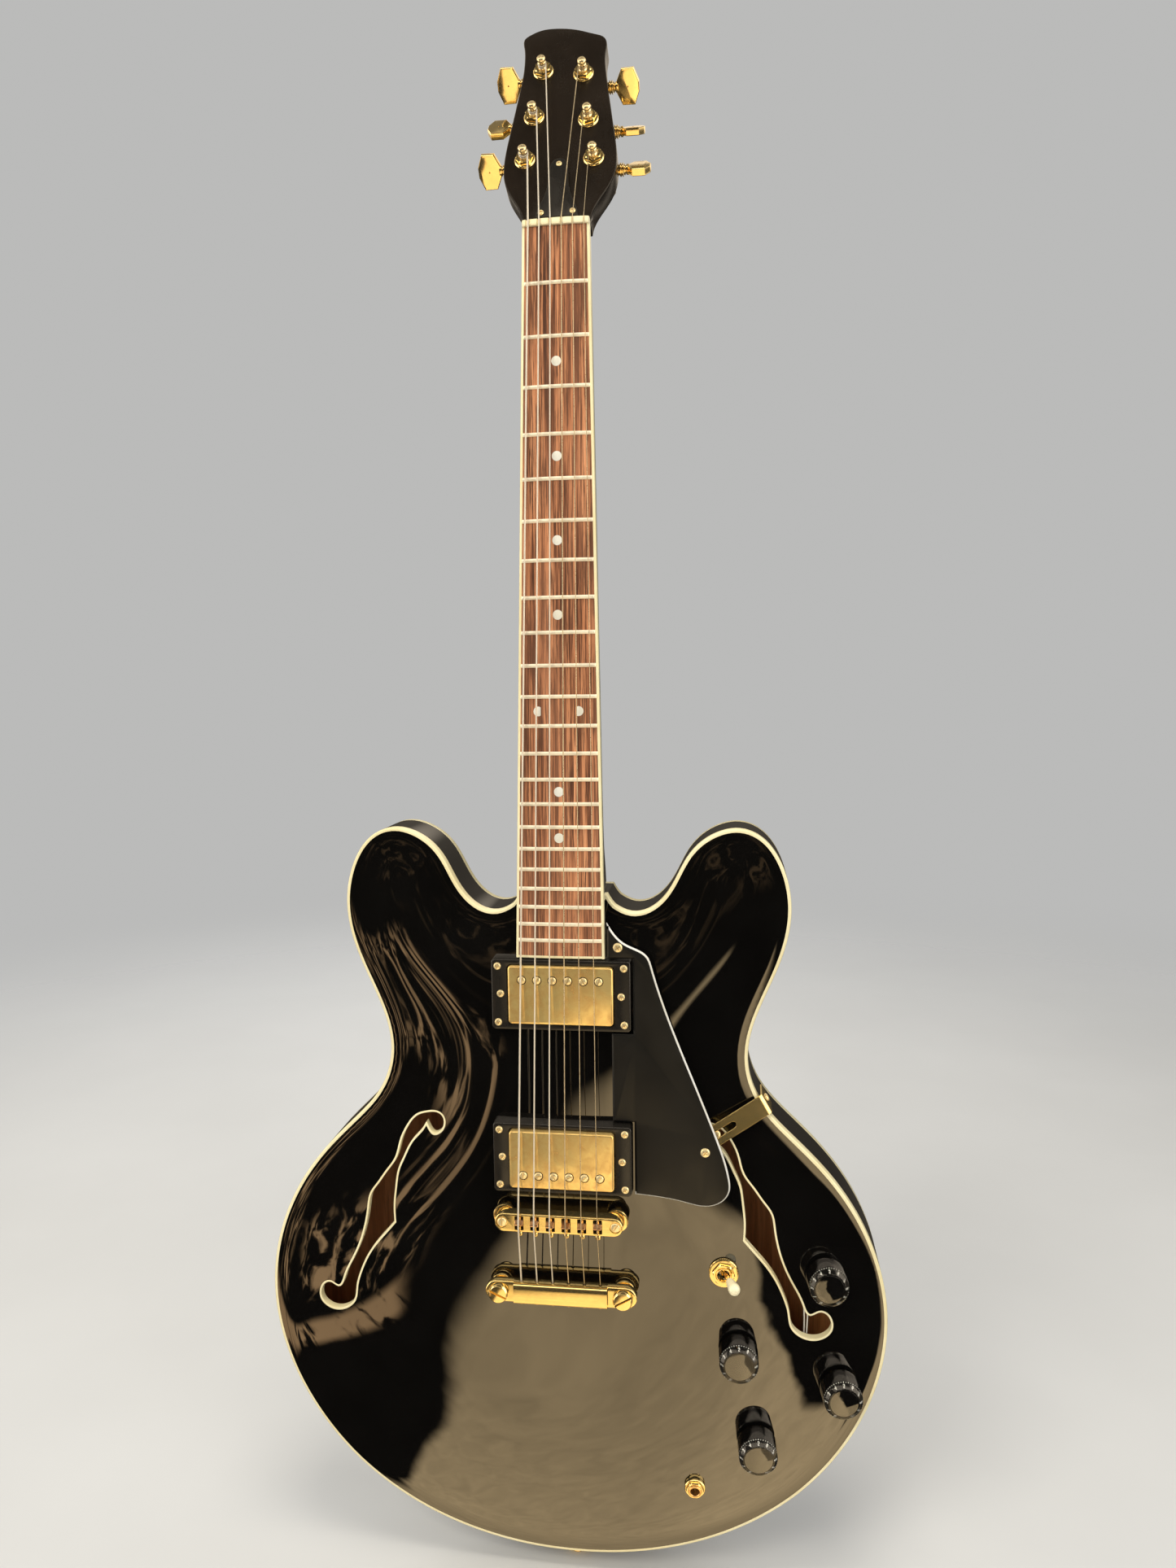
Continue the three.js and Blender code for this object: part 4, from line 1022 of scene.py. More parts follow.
shapes = []
EDGE_ROUND = 0.6
for sign in (-1, 1):
    rings = []
    for s in np.r_[BOARD_STATIONS, BOARD_END]:
        half = board_half_w(s)
        inner, low = half - BOARD_BINDING_T, camber(half)
        section = [(inner, camber(inner) - 0.01), (half - EDGE_ROUND, low - 0.01),
                   (half - EDGE_ROUND * 0.3, low + EDGE_ROUND * 0.3), (half, low + EDGE_ROUND),
                   (half, BOARD_T), (inner, BOARD_T)]
        rings.append([neck_pt(s, sign * x, behind) for x, behind in section])
    shapes.append(loft(rings))
half = board_half_w(BOARD_END) - BOARD_BINDING_T
rings = []
for x in np.linspace(-half, half, 17):
    face = camber(x) - 0.01
    section = [(WOOD_END + 0.02, face), (BOARD_END - 0.5, face), (BOARD_END - 0.15, face + 0.15),
               (BOARD_END, face + 0.5), (BOARD_END, BOARD_T), (WOOD_END + 0.02, BOARD_T)]
    rings.append([neck_pt(s, x, behind) for s, behind in section])
shapes.append(loft(rings))
part("fingerboard_binding", join_shapes(shapes), CREAM, "cream_binding")

FRET_HEIGHT, FRET_HALF_W, FRET_SUNK, FRET_END = 1.12, 1.3, 0.25, 0.9
shapes = []
for number in range(1, 23):
    middle = fret_s(number)
    half = board_half_w(middle) - BOARD_BINDING_T + 0.25
    rings = []
    for x in np.r_[-half, -half + 0.35, -half + FRET_END, np.linspace(-half + 3, half - 3, 9),
                   half - FRET_END, half - 0.35, half]:
        inward = min(1.0, (half - abs(x)) / FRET_END)
        height = FRET_HEIGHT * (0.25 + 0.75 * math.sqrt(max(0.0, 1 - (1 - inward) ** 2)))
        rings.append([neck_pt(middle + FRET_HALF_W * math.cos(a), x,
                              camber(x) + FRET_SUNK - height * max(0.0, math.sin(a)) ** 0.8)
                      for a in np.linspace(0, math.pi, 9)])
    shapes.append(loft(rings))
part("frets", join_shapes(shapes), FRET, "nickel_parts", sharp=50)

DOT_FRETS = (3, 5, 7, 9, 12, 15, 17)        # the twelfth has two dots
part("position_dots", join_shapes([
    lathe([(0, -0.4), (3.15, -0.4), (3.15, 0.03), (3.0, 0.06), (0, 0.06)],
          neck_pt(fret_gap_s(number), x, camber(x)), -NECK_BACK, 28)
    for number in DOT_FRETS for x in ((-13, 13) if number == 12 else (0,))]),
    DOT, "cream_binding")
part("side_dots", join_shapes([
    lathe(rod(0.9, -0.5, 0.04),
          neck_pt(fret_gap_s(number) + shift, -board_half_w(fret_gap_s(number)), 2.9),
          -X_AXIS, 14)
    for number in DOT_FRETS for shift in ((-3.5, 3.5) if number == 12 else (0,))]),
    DARK, "black_plastic")

# ---------------------------------------------------------------- nut, rod cover, screws
slot_x = [(i - 2.5) * NUT_PITCH for i in range(6)]
slot_r = [radius + 0.12 for radius in STRING_R]
stations = [-21.4, -21.1, -20.6, 20.6, 21.1, 21.4]
for x, r in zip(slot_x, slot_r):
    stations += [x - 3.2, x - r - 0.02, x - r, x, x + r, x + r + 0.02]
rings = []
for x in sorted(stations):
    i = int(np.argmin([abs(x - middle) for middle in slot_x]))
    notch = 0.75 if abs(x - slot_x[i]) < slot_r[i] + 0.001 else 0.0
    out = abs(x)
    rim = 0.0 if out < 20.4 else (0.25 if out < 21.0 else (0.6 if out < 21.3 else 1.2))
    top = -1.75 + camber(x) + notch + rim
    section = [(-4.6, BOARD_T + 0.6), (-4.6, top + 1.4), (-4.3, top + 0.7), (-3.6, top + 0.25),
               (-1.2, top), (-0.3, top + 0.15), (-0.02, top + 0.5), (-0.02, BOARD_T)]
    rings.append([neck_pt(s, x, behind) for s, behind in section])
part("nut_bone", loft(rings), IVORY, "nut", replaces="nut")


def screw(name, centre, axis, radius, turn, height=None, slotted=False, depth=0.45,
          body="guitar"):
    """Domed screw head with a cross or a slot; depth is a share of its height."""
    height = height or radius * 0.42
    profile = rounded([(0, -0.6), (radius * 1.02, -0.6), (radius, height * 0.25),
                       (radius * 0.78, height * 0.85), (0.3 * radius, height), (0, height)],
                      radius * 0.25, 3)
    across, up, along = axes_about(axis)
    cosine, sine = math.cos(turn), math.sin(turn)
    across, up = across * cosine + up * sine, up * cosine - across * sine
    if slotted:
        length, width, sink = radius * 1.2, radius * 0.16, depth * height + 0.1
    else:
        length, width, sink = radius * 0.55, radius * 0.10, depth * height + 0.35 * height
    recesses = []
    for lengthways, sideways in [(across, up)] if slotted else [(across, up), (up, across)]:
        recesses.append(loft([
            [np.array(centre, float) + lengthways * (length * a) + sideways * (width * b)
             + along * level for a, b in CORNERS] for level in (height - sink, height + 1)]))
    part(name, lathe(profile, centre, axis, 32), GOLD_SCREW, "gold_hardware", body=body,
         cuts=recesses)


# rod cover, treble side: x, distance up the headstock
COVER_SIDE = [(13.5, 3.2), (13, 8), (9.5, 17), (7, 27), (6.2, 38), (5.2, 44), (2.5, 47.5)]
COVER_T = 2.3
mirrored = [(-x, s) for x, s in COVER_SIDE]
cover = closed_path(mirrored[:1] + COVER_SIDE + mirrored[:0:-1], [0, 1], 1.2)
part("rod_cover", slab(cover, 0.02, -COVER_T, 0, 0.5, head_pt), PLASTIC, "black_plastic",
     replaces="truss_rod_cover")
for i, (x, s, radius) in enumerate(((0, 43.6, 1.9), (-10.2, 6.6, 2.0), (10.2, 6.6, 2.0))):
    screw("rod_cover_screw_%d" % (i + 1), head_pt(x, s, -COVER_T), HEAD_FRONT, radius,
          turn=0.4 + i)


def hex_nut(name, centre, axis, half_flats, bore, low, high, turn):
    """Hexagonal nut with a chamfered outer end."""
    across, up, along = axes_about(axis)
    cosine, sine = math.cos(turn), math.sin(turn)
    across, up = across * cosine + up * sine, up * cosine - across * sine
    angles = turn_angles(48)
    hexagon = half_flats / np.cos((angles + np.pi / 6) % (np.pi / 3) - np.pi / 6)
    chamfered = np.minimum(hexagon, half_flats * 1.035) - 0.15
    hole = np.full(48, bore)
    rows = ((hole, low), (hexagon, low), (hexagon, high - 0.5), (chamfered, high),
            (hole + 0.35, high), (hole, high - 0.35))
    rings = [[np.array(centre, float) + across * (r * math.cos(a)) + up * (r * math.sin(a))
              + along * height for r, a in zip(radii, angles)] for radii, height in rows]
    part(name, ring_loop(rings), GOLD, "gold_hardware", sharp=24)


# ---------------------------------------------------------------- tuners
# lathe profiles: radius, height
TUNER_WASHER = rounded([(3.3, -0.4), (6.9, -0.4), (6.9, 0.55), (6.2, 1.15), (5.2, 1.3),
                        (3.3, 1.3), (3.3, -0.4)], 0.2, 2)
TUNER_COLLAR = rounded([(0, 6), (3.2, 6), (3.2, 14.9), (4.1, 15.1), (4.1, 15.9), (3.3, 16.1),
                        (3.3, 16.5), (4.1, 16.7), (4.1, 17.4), (0, 17.4)], 0.15, 2)
TUNER_CAP = rounded([(0, 0), (3.2, 0), (3.2, 0.5), (2.6, 0.9), (0, 0.9)], 0.2, 2)
POST_WAIST_R = 2.12
TUNER_POST = [
    (0, -6), (3.0, -6), (3.0, 3.9), (2.8, 4.2), (2.35, 4.5), (POST_WAIST_R, 4.9), (2.05, 5.9),
    (POST_WAIST_R, 6.9), (2.4, 7.3), (2.7, 7.55), (2.45, 7.85), (2.15, 8.0), (2.3, 8.2),
    (2.7, 8.6), (2.95, 9.2), (2.9, 9.9), (2.55, 10.55), (1.9, 11.0), (1.0, 11.25), (0, 11.3)]
TUNER_STEM = rounded([(0, 8), (1.9, 8), (1.9, 17.6), (3.3, 17.7), (3.3, 18.5), (2.4, 18.7),
                      (2.4, 19.1), (3.2, 19.3), (3.2, 21.0), (0, 21.0)], 0.15, 2)
TUNER_PIN = [(0, -0.4), (0.55, -0.4), (0.55, 0.12), (0.35, 0.2), (0, 0.2)]
# button outline: distance out along the stem, distance across it
BUTTON = closed_path([(19.7, -2.9), (19.7, 2.9), (23.6, 10.6), (32.0, 10.8), (35.3, 3.0),
                      (35.3, -3.0), (32.0, -10.8), (23.6, -10.6)], list(range(8)), 1.2)
BUTTON_HALF_T = 2.35
POST_HOLE = 6.3             # height of the string hole in front of the headstock


def tuner(key, x, s, button_turn):
    side = math.copysign(1, x)
    stem_shift = 7.0 if side > 0 else 11.5
    base = head_pt(x, s, 0)
    part("tuner_washer_" + key, lathe(TUNER_WASHER, base, HEAD_FRONT, 48), GOLD,
         "gold_hardware")
    hex_nut("tuner_bushing_" + key, base, HEAD_FRONT, half_flats=4.9, bore=3.15, low=1.2,
            high=4.0, turn=0.3 + 1.7 * abs(x))
    # housing on the back, with its foot, collar, cap and screw
    box_x = x + side * 3.0
    box = round_rect(9.2, (stem_shift + 13) / 2, 3.0, 5) + (box_x, s + (stem_shift - 3) / 2)
    part("tuner_box_" + key,
         slab(box, HEAD_T + 0.02, HEAD_T + 11.4, 0.4, 3.2, head_pt, 5), GOLD,
         "gold_hardware", replaces="tuner_housing_" + key)
    foot = slab(round_rect(3.4, 4.4, 3.0, 5) + (box_x, s - 10.4), HEAD_T + 0.02, HEAD_T + 1.6,
                0.1, 0.5, head_pt, 3)
    stem_foot = head_pt(x, s + stem_shift, HEAD_T + 3.5)
    outward = (side, 0, 0)
    cap = lathe(TUNER_CAP, head_pt(x + side * 2.4, s, HEAD_T + 11.3), HEAD_BACK, 28)
    collar = lathe(TUNER_COLLAR, stem_foot, outward, 32)
    part("tuner_collar_" + key, join_shapes([foot, collar, cap]), GOLD, "gold_hardware")
    screw("tuner_screw_" + key, head_pt(box_x, s - 11.2, HEAD_T + 1.55), HEAD_BACK, 1.6,
          turn=abs(x))
    # waisted post with a ball tip and a string hole
    hole = base + HEAD_FRONT * POST_HOLE
    part("tuner_peg_" + key, lathe(TUNER_POST, base, HEAD_FRONT, 40), NICKEL, "nickel_parts",
         body="tuner_post_" + key, replaces="tuner_post_" + key,
         cuts=[tube([hole + X_AXIS * 6, hole - X_AXIS * 6], 0.7, 12)])
    # bevelled long button on a stem with a collar
    body = "tuner_button_" + key
    cosine, sine = math.cos(math.radians(button_turn)), math.sin(math.radians(button_turn))

    def place(out, across, height):
        return (stem_foot + X_AXIS * (side * out) + HEAD_UP * (across * cosine + height * sine)
                + HEAD_BACK * (height * cosine - across * sine))

    part("tuner_knob_" + key,
         slab(BUTTON, -BUTTON_HALF_T, BUTTON_HALF_T, 0.85, 0.85, place, 3), GOLD,
         "gold_hardware", body=body, replaces=body, sharp=28)
    part("tuner_stem_" + key, lathe(TUNER_STEM, stem_foot, outward, 28), GOLD,
         "gold_hardware", body=body)
    face = -HEAD_UP * sine - HEAD_BACK * cosine
    pin_at = stem_foot + X_AXIS * (side * 27.6) + face * BUTTON_HALF_T
    part("tuner_pin_" + key, lathe(TUNER_PIN, pin_at, face, 14), GOLD_DARK, "gold_hardware",
         body=body)


for key, (x, s, button_turn) in TUNERS.items():
    tuner(key, x, s, button_turn)

# ---------------------------------------------------------------- pickups
RING_SCREWS = [(-41.2, -18.6), (-41.2, 18.6), (41.2, -18.6), (41.2, 18.6), (-39.4, 0.4),
               (39.4, 0.0)]         # x, z from the pickup
POLE_PITCH = 10.05


def mounting_ring(name, middle_z, top, replaces):
    """Frame that follows the arch below and is flat on top."""
    outer_w, outer_h, inner_w, inner_h = 45.7, 23.6, 34.9, 19.9
    outer_round, inner_round = 0.8, 0.4

    def level(half_w, half_h, radius, height=None):
        return [(x, top_y(x, z + middle_z) + 0.15 if height is None else -height, z + middle_z)
                for x, z in round_rect(half_w, half_h, radius, 7)]

    rings = [level(outer_w, outer_h, 2.2)]
    for angle in map(math.radians, (0, 30, 60, 90)):
        shrink = 0.35 + outer_round * (1 - math.cos(angle))
        rings.append(level(outer_w - shrink, outer_h - shrink, 2.2,
                           top - outer_round + outer_round * math.sin(angle)))
    for angle in map(math.radians, (90, 45, 0)):
        grow = inner_round * (1 - math.cos(angle))
        rings.append(level(inner_w + grow, inner_h + grow, 2.6,
                           top - inner_round + inner_round * math.sin(angle)))
    rings.append(level(inner_w, inner_h, 2.6))
    part(name, ring_loop(rings), PLASTIC, "black_plastic", replaces=replaces, sharp=30)


def pickup(tag, middle_z, ring_top, top, pole_shift, pole_turns):
    mounting_ring("mounting_ring_" + tag, middle_z, ring_top, "pickup_ring_" + tag)
    body = "pickup_" + tag
    poles = [((i - 2.5) * POLE_PITCH, -top, middle_z + pole_shift) for i in range(6)]
    cover = slab(round_rect(34.4, 19.4, 2.6, 6) + (0, middle_z), top - 14, top, 0.2, 1.5,
                 in_front, 6)
    part("pickup_cover_" + tag, cover, GOLD_OLD, "gold_hardware", body=body, replaces=body,
         sharp=50, cuts=[lathe(rod(3.1, -1.2, 3), pole, FRONT, 28) for pole in poles])
    for i, (pole, turn) in enumerate(zip(poles, pole_turns), 1):
        screw("pole_%s_%d" % (tag, i), pole, FRONT, 2.55, turn=turn, height=0.9, slotted=True,
              depth=0.7, body=body)
        part("pole_shadow_%s_%d" % (tag, i), lathe(rod(3.07, -1.25, -0.55), pole, FRONT, 24),
             DARK, "black_plastic", body=body)
    for i, (x, z) in enumerate(RING_SCREWS):
        screw("ring_screw_%s_%d" % (tag, i + 1), (x, -ring_top, middle_z + z), FRONT, 2.45,
              turn=0.35 + 0.9 * i, height=1.15)


pickup("neck", NECK_PICKUP_Z, ring_top=39.0, top=40.6, pole_shift=10,
       pole_turns=(0.9, 0.9, 1.6, 1.2, 2.1, 1.3))
pickup("bridge", BRIDGE_PICKUP_Z, ring_top=44.2, top=47.6, pole_shift=-10.3,
       pole_turns=(1.5, 0.2, 2.2, 0.4, 0.7, 1.0))

# ---------------------------------------------------------------- strings
ANCHOR_Y = -RIM_HALF - 27.5 + 4         # string channels through the tailpiece
WRAP_TURNS = (2.2, 2.4, 2.8, 3.2, 3.6, 4.0)
saddle_x = [BRIDGE_X + (i - 2.5) * SADDLE_PITCH for i in range(6)]
anchor_x = [BRIDGE_X + (i - 2.5) * SADDLE_PITCH * 1.02 for i in range(6)]


def string_pt(i, s):
    """Centre of string i at s from the nut."""
    k = s / (SCALE_LENGTH + 8.5)
    first_pitch = NUT_PITCH - 0.2
    pitch = first_pitch + (SADDLE_PITCH - NUT_PITCH + 0.2) * k
    x = 0.6 * (1 - k) + BRIDGE_X * k + (i - 2.5) * pitch
    lift = 2.1 + 2.9 * s / SCALE_LENGTH
    return neck_pt(s, x, -lift - STRING_R[i] + camber(x))


def s_at(z):
    return SCALE_LENGTH - (z - SCALE_Z) / math.cos(NECK_TILT)


for i, (key, (peg_x, peg_s, _)) in enumerate(TUNERS.items()):
    radius, side = STRING_R[i], math.copysign(1, peg_x)
    wrap_r = POST_WAIST_R + radius
    anchor = np.array((anchor_x[i], ANCHOR_Y, TAIL_Z + 8.0))
    over_bridge = string_pt(i, s_at(BRIDGE_Z - 1.2))
    path = [np.array((anchor_x[i], ANCHOR_Y + 1.0, TAIL_Z + 2.0)), anchor]
    path += [anchor + (over_bridge - anchor) * t for t in (0.3, 0.6, 0.9, 0.97)]
    path += [string_pt(i, s_at(z)) for z in (BRIDGE_Z - 0.5, BRIDGE_Z, BRIDGE_Z + 2)]
    path += [string_pt(i, s) for s in (*range(600, 0, -40), 1.0, -2.0, -4.2)]
    post = head_pt(peg_x, peg_s, -POST_HOLE)
    over_nut, end = path[-1], post - X_AXIS * side * wrap_r
    path += [over_nut + (end - over_nut) * t for t in (0.1, 0.5, 0.9, 1.0)]
    material = WOUND_STRING if i < 3 else PLAIN_STRING
    part("string_run_%d" % (i + 1), tube(path, radius, 10), material, "strings",
         replaces="string_%d" % (i + 1), sharp=60)
    helix = []
    for t in np.linspace(0, WRAP_TURNS[i], int(WRAP_TURNS[i] * 20)):
        angle = t * 2 * math.pi
        helix.append(post - X_AXIS * side * wrap_r * math.cos(angle)
                     + HEAD_UP * wrap_r * math.sin(angle) + HEAD_BACK * (-0.5 + t * 1.9 * radius))
    part("string_wrap_%d" % (i + 1), tube(helix, radius, 8), material, "strings",
         body="tuner_post_" + key, sharp=60)

# ---------------------------------------------------------------- bridge
BRIDGE_TOP, BRIDGE_UNDER = 51.6, 43.6       # in front of y = 0
SCREW_Y = -49.2                             # saddle screws
DOWN = (0, 0, -1)


def capsule(half_w, half_h, steps=14):
    out = []
    for sign in (1, -1):
        for i in range(steps + 1):
            angle = -math.pi / 2 + math.pi * i / steps
            out.append((sign * (half_w - half_h) + sign * half_h * math.cos(angle),
                        sign * half_h * math.sin(angle)))
    return np.array(out)


cuts = []
for x in saddle_x:
    cuts.append(slab(round_rect(2.95, 4.75, 0.5, 2) + (x, BRIDGE_Z), BRIDGE_UNDER + 1.4,
                     BRIDGE_TOP + 3, 0, 0, in_front))
    cuts.append(tube([(x, SCREW_Y, BRIDGE_Z), (x, SCREW_Y, BRIDGE_Z - 12)], 1.2, 14))
post_seat = [(0, BRIDGE_TOP - 0.7), (3.75, BRIDGE_TOP - 0.8), (3.75, BRIDGE_TOP + 3),
             (0, BRIDGE_TOP + 3)]
for sign, _ in SIDES:
    cuts.append(lathe(post_seat, (BRIDGE_X + sign * POST_X, 0, BRIDGE_Z), FRONT, 32))
part("bridge_body", slab(capsule(42, 6.2) + (BRIDGE_X, BRIDGE_Z), BRIDGE_UNDER, BRIDGE_TOP,
                         0.4, 0.9, in_front), GOLD_BRUSHED, "gold_hardware",
     replaces="bridge_base", cuts=cuts)


def saddle(i):
    x, radius = saddle_x[i], STRING_R[i]
    number = i + 1
    seat_y = string_pt(i, s_at(BRIDGE_Z))[1] + radius + 0.12
    foot_y, shoulder_y = -BRIDGE_UNDER - 2.0, -BRIDGE_TOP - 0.1
    rings = []
    for shift in (-2.65, -2.4, -radius - 0.6, -radius * 0.6, radius * 0.6, radius + 0.6, 2.4,
                  2.65):
        notch = 0.0 if abs(shift) > radius + 0.3 else 0.32
        bevel = 0.25 if abs(shift) > 2.6 else 0.0
        peak = seat_y - 0.35 + notch + bevel
        section = [(foot_y, -2.1), (foot_y, 2.1), (shoulder_y, 2.1 - bevel),
                   (peak + 0.12, 0.55), (peak, 0.15), (peak, -0.15), (peak + 0.12, -0.55),
                   (shoulder_y, -2.1 + bevel)]
        rings.append([(x + shift, y, BRIDGE_Z + z) for y, z in section])
    # dark sheet on the floor of each saddle pocket: painted shade
    part("saddle_well_%d" % number,
         slab(round_rect(2.9, 4.7, 0.5, 2) + (x, BRIDGE_Z), BRIDGE_UNDER + 1.42,
              BRIDGE_UNDER + 1.9, 0, 0, in_front), DARK, "black_plastic")
    part("saddle_block_%d" % number, loft(rings), SADDLE_GOLD, "gold_hardware",
         body="saddle_%d" % number, replaces="saddle_%d" % number, sharp=25)
    screw_top = (x, SCREW_Y, BRIDGE_Z + 4.6)
    thread = lathe(rod(0.95, 0.2, 12.4), screw_top, DOWN, 16)
    head = lathe(rounded([(0, 11.0), (1.95, 11.0), (1.95, 13.2), (1.6, 13.8), (0, 13.8)],
                         0.25, 2), screw_top, DOWN, 24)
    part("saddle_screw_%d" % number, join_shapes([thread, head]), GOLD, "gold_hardware")


for i in range(6):
    saddle(i)
THUMBWHEEL = [(0, 20), (4.2, 20), (4.2, 39.4), (6.2, 39.5), (7.2, 39.9), (7.45, 40.2),
              (7.45, 42.4), (7.2, 42.75), (6.4, 42.95), (5.2, 42.95), (4.9, 42.7), (3.2, 42.7),
              (2.1, 43.0), (2.1, 50), (0, 50)]
for (sign, side), turn in zip(SIDES, (1.62, 0.95)):
    x = BRIDGE_X + sign * POST_X
    part("thumbwheel_" + side,
         lathe(THUMBWHEEL, (x, 0, BRIDGE_Z), FRONT, 96, knurl=((4, 5, 6, 7), 0.12)), GOLD,
         "gold_hardware", replaces="bridge_post_" + side, sharp=30)
    screw("bridge_post_top_" + side, (x, -BRIDGE_TOP + 0.6, BRIDGE_Z), FRONT, 3.15, turn=turn,
          height=0.85, slotted=True, depth=1.0)

# ---------------------------------------------------------------- tailpiece
TAIL_UNDER, TAIL_TOP, EAR_TOP = 40.5, 49.75, 46.9       # in front of y = 0
TAIL_HALF_H, TAIL_STRAIGHT = 7.5, 42.7                  # its ends are round beyond x 42.7
outer_stations = np.array([31.0, 31.4, 33.0, 36.5, 40, TAIL_STRAIGHT, 44.4, 46.4, 48.0, 49.2,
                           49.9, 50.1])
rings = []
for x in np.r_[-outer_stations[::-1], np.linspace(-30.2, 30.2, 15), outer_stations]:
    out = abs(x)
    half_h = TAIL_HALF_H
    if out > TAIL_STRAIGHT:
        half_h *= math.sqrt(max(0.02, 1 - ((out - TAIL_STRAIGHT) / TAIL_HALF_H) ** 2))
    ear = out > 31.2
    top = EAR_TOP if ear else TAIL_TOP
    middle, half_depth = (TAIL_UNDER + top) / 2, (top - TAIL_UNDER) / 2
    ring = []
    for angle in np.linspace(0, 2 * math.pi, 32, endpoint=False):
        cosine, sine = math.cos(angle), math.sin(angle)
        power = 0.42 if ear else (0.62 if sine > 0 else 0.35)
        height = middle + half_depth * math.copysign(abs(sine) ** power, sine)
        rise = half_h * math.copysign(abs(cosine) ** (0.35 if ear else 0.5), cosine)
        ring.append((BRIDGE_X + x, -height, TAIL_Z + rise))
    rings.append(ring)
part("tail_bar", loft(rings), GOLD_BRUSHED, "gold_hardware", replaces="tailpiece", sharp=30,
     cuts=[tube([(x, ANCHOR_Y, TAIL_Z - 9), (x, ANCHOR_Y, TAIL_Z + 9)], 1.25, 14)
           for x in anchor_x])
ball_end = rounded(rod(1.9, -2.0, 1.0), 0.3, 2)
part("ball_ends", join_shapes([lathe(ball_end, (x, ANCHOR_Y, TAIL_Z - 6.7), DOWN, 20)
                               for x in anchor_x]), GOLD_DARK, "strings")
TAIL_STUD = rounded([(0, 20), (5.4, 20), (5.4, 36.2), (7.3, 36.4), (7.3, 38.8), (5.4, 39.0),
                     (4.6, 39.3), (4.6, 46.5), (6.5, 47.0), (6.5, 49.9), (5.5, 51.2),
                     (0, 51.4)], 0.35, 3)
for (sign, side), turn in zip(SIDES, (2.0, 1.05)):
    x = BRIDGE_X + sign * STUD_X
    long_x, long_z = math.sin(turn) * 9, math.cos(turn) * 9
    wide_x, wide_z = math.cos(turn) * 0.75, -math.sin(turn) * 0.75
    slot = loft([[(x + a * long_x + b * wide_x, y, TAIL_Z + a * long_z + b * wide_z)
                  for a, b in CORNERS] for y in (-49.4, -54)])
    part("tail_stud_screw_" + side, lathe(TAIL_STUD, (x, 0, TAIL_Z), FRONT, 64), GOLD,
         "gold_hardware", replaces="tail_stud_" + side, cuts=[slot])

# ---------------------------------------------------------------- pickguard and bracket
# inset, height in front of y = 0; the white ply shows between rows 2 and 5
GUARD_LEVELS = [(0, 37.0), (0.0, 37.7), (0.0, 37.75), (0.28, 38.0), (1.0, 38.75),
                (1.02, 38.8), (1.25, 39.12), (1.5, 39.2)]
GUARD_TOP = GUARD_LEVELS[-1][1]
guard = np.array(GUARD) + (0, SCALE_Z)
guard_path = anticlockwise(closed_path(guard, [0, *range(11, 18)], 2.0))
middles = (guard_path + np.roll(guard_path, -1, 0)) / 2
white = [line_distance(q, guard[:12]) < 1.6 for q in middles]
rings = [[in_front(x, z, height) for x, z in inset(guard_path, distance)]
         for distance, height in GUARD_LEVELS]
indices = [int(k in (2, 3, 4) and shows) for k in range(len(rings) - 1) for shows in white]
part("guard_plate", loft(rings), [SATIN, WHITE], "black_plastic", replaces="pickguard",
     indices=indices + [0, 0], sharp=30)
for side, x, z, turn in (("upper", 37.5, 172.5, 0.6), ("lower", 92.6, 39.0, 0.9)):
    screw("guard_screw_" + side, (x, -GUARD_TOP, SCALE_Z + z), FRONT, 3.1, turn=turn,
          height=1.25)

BRACKET_FOOT = np.array((87, 42 + SCALE_Z))
BRACKET_ALONG = np.array((0.875, 0.485))
BRACKET_ALONG /= np.linalg.norm(BRACKET_ALONG)
BRACKET_ACROSS = np.array((-BRACKET_ALONG[1], BRACKET_ALONG[0]))
BRACKET_HALF_W, BRACKET_T = 6.8, 1.2
# distance along the bracket, height in front of the rim edge
BRACKET_LINE = np.array([(-8, 14.1), (7.5, 14.1), (9.2, 13.7), (11, 13.1), (48.8, 1.75),
                         (50.2, 1.2), (50.95, 0.6), (51.2, -0.4), (51.2, -17)])


def bracket_pt(along, across, y):
    x, z = BRACKET_FOOT + BRACKET_ALONG * along + BRACKET_ACROSS * across
    return (x, y, z)


rings = []
for k, (along, height) in enumerate(BRACKET_LINE):
    run = BRACKET_LINE[min(k + 1, len(BRACKET_LINE) - 1)] - BRACKET_LINE[max(k - 1, 0)]
    run /= np.linalg.norm(run)
    off_along, off_height = np.array((-run[1], run[0])) * BRACKET_T / 2
    rings.append([bracket_pt(along + off_along * b, a * BRACKET_HALF_W,
                             -RIM_HALF - (height + off_height * b)) for a, b in CORNERS])
bracket = mesh_object("guard_bracket", loft(rings), GOLD_BRUSHED)
slot = round_rect(8.4, 2.2, 2.19, 6) + (20.5, 0)
cut(bracket, [loft([[bracket_pt(along, across, y) for along, across in slot]
                    for y in (-60, -10)])])
bevel = bracket.modifiers.new("edge", "BEVEL")
bevel.width, bevel.segments = 0.25 * MM, 2
bevel.limit_method, bevel.angle_limit = "ANGLE", math.radians(32)
bevel.use_clamp_overlap = True
bracket.modifiers.new("normals", "WEIGHTED_NORMAL").keep_sharp = True
register(bracket, replaces="pickguard_bracket")
screw("bracket_screw_rim", bracket_pt(51.8, 0, -RIM_HALF + 9.5),
      (BRACKET_ALONG[0], 0, BRACKET_ALONG[1]), 2.6, turn=0.5, height=1.2)
screw("bracket_nut_inner", bracket_pt(14.6, 0, -33.6), (0.25, -1, 0.15), 2.7, turn=0.5,
      height=0.9)


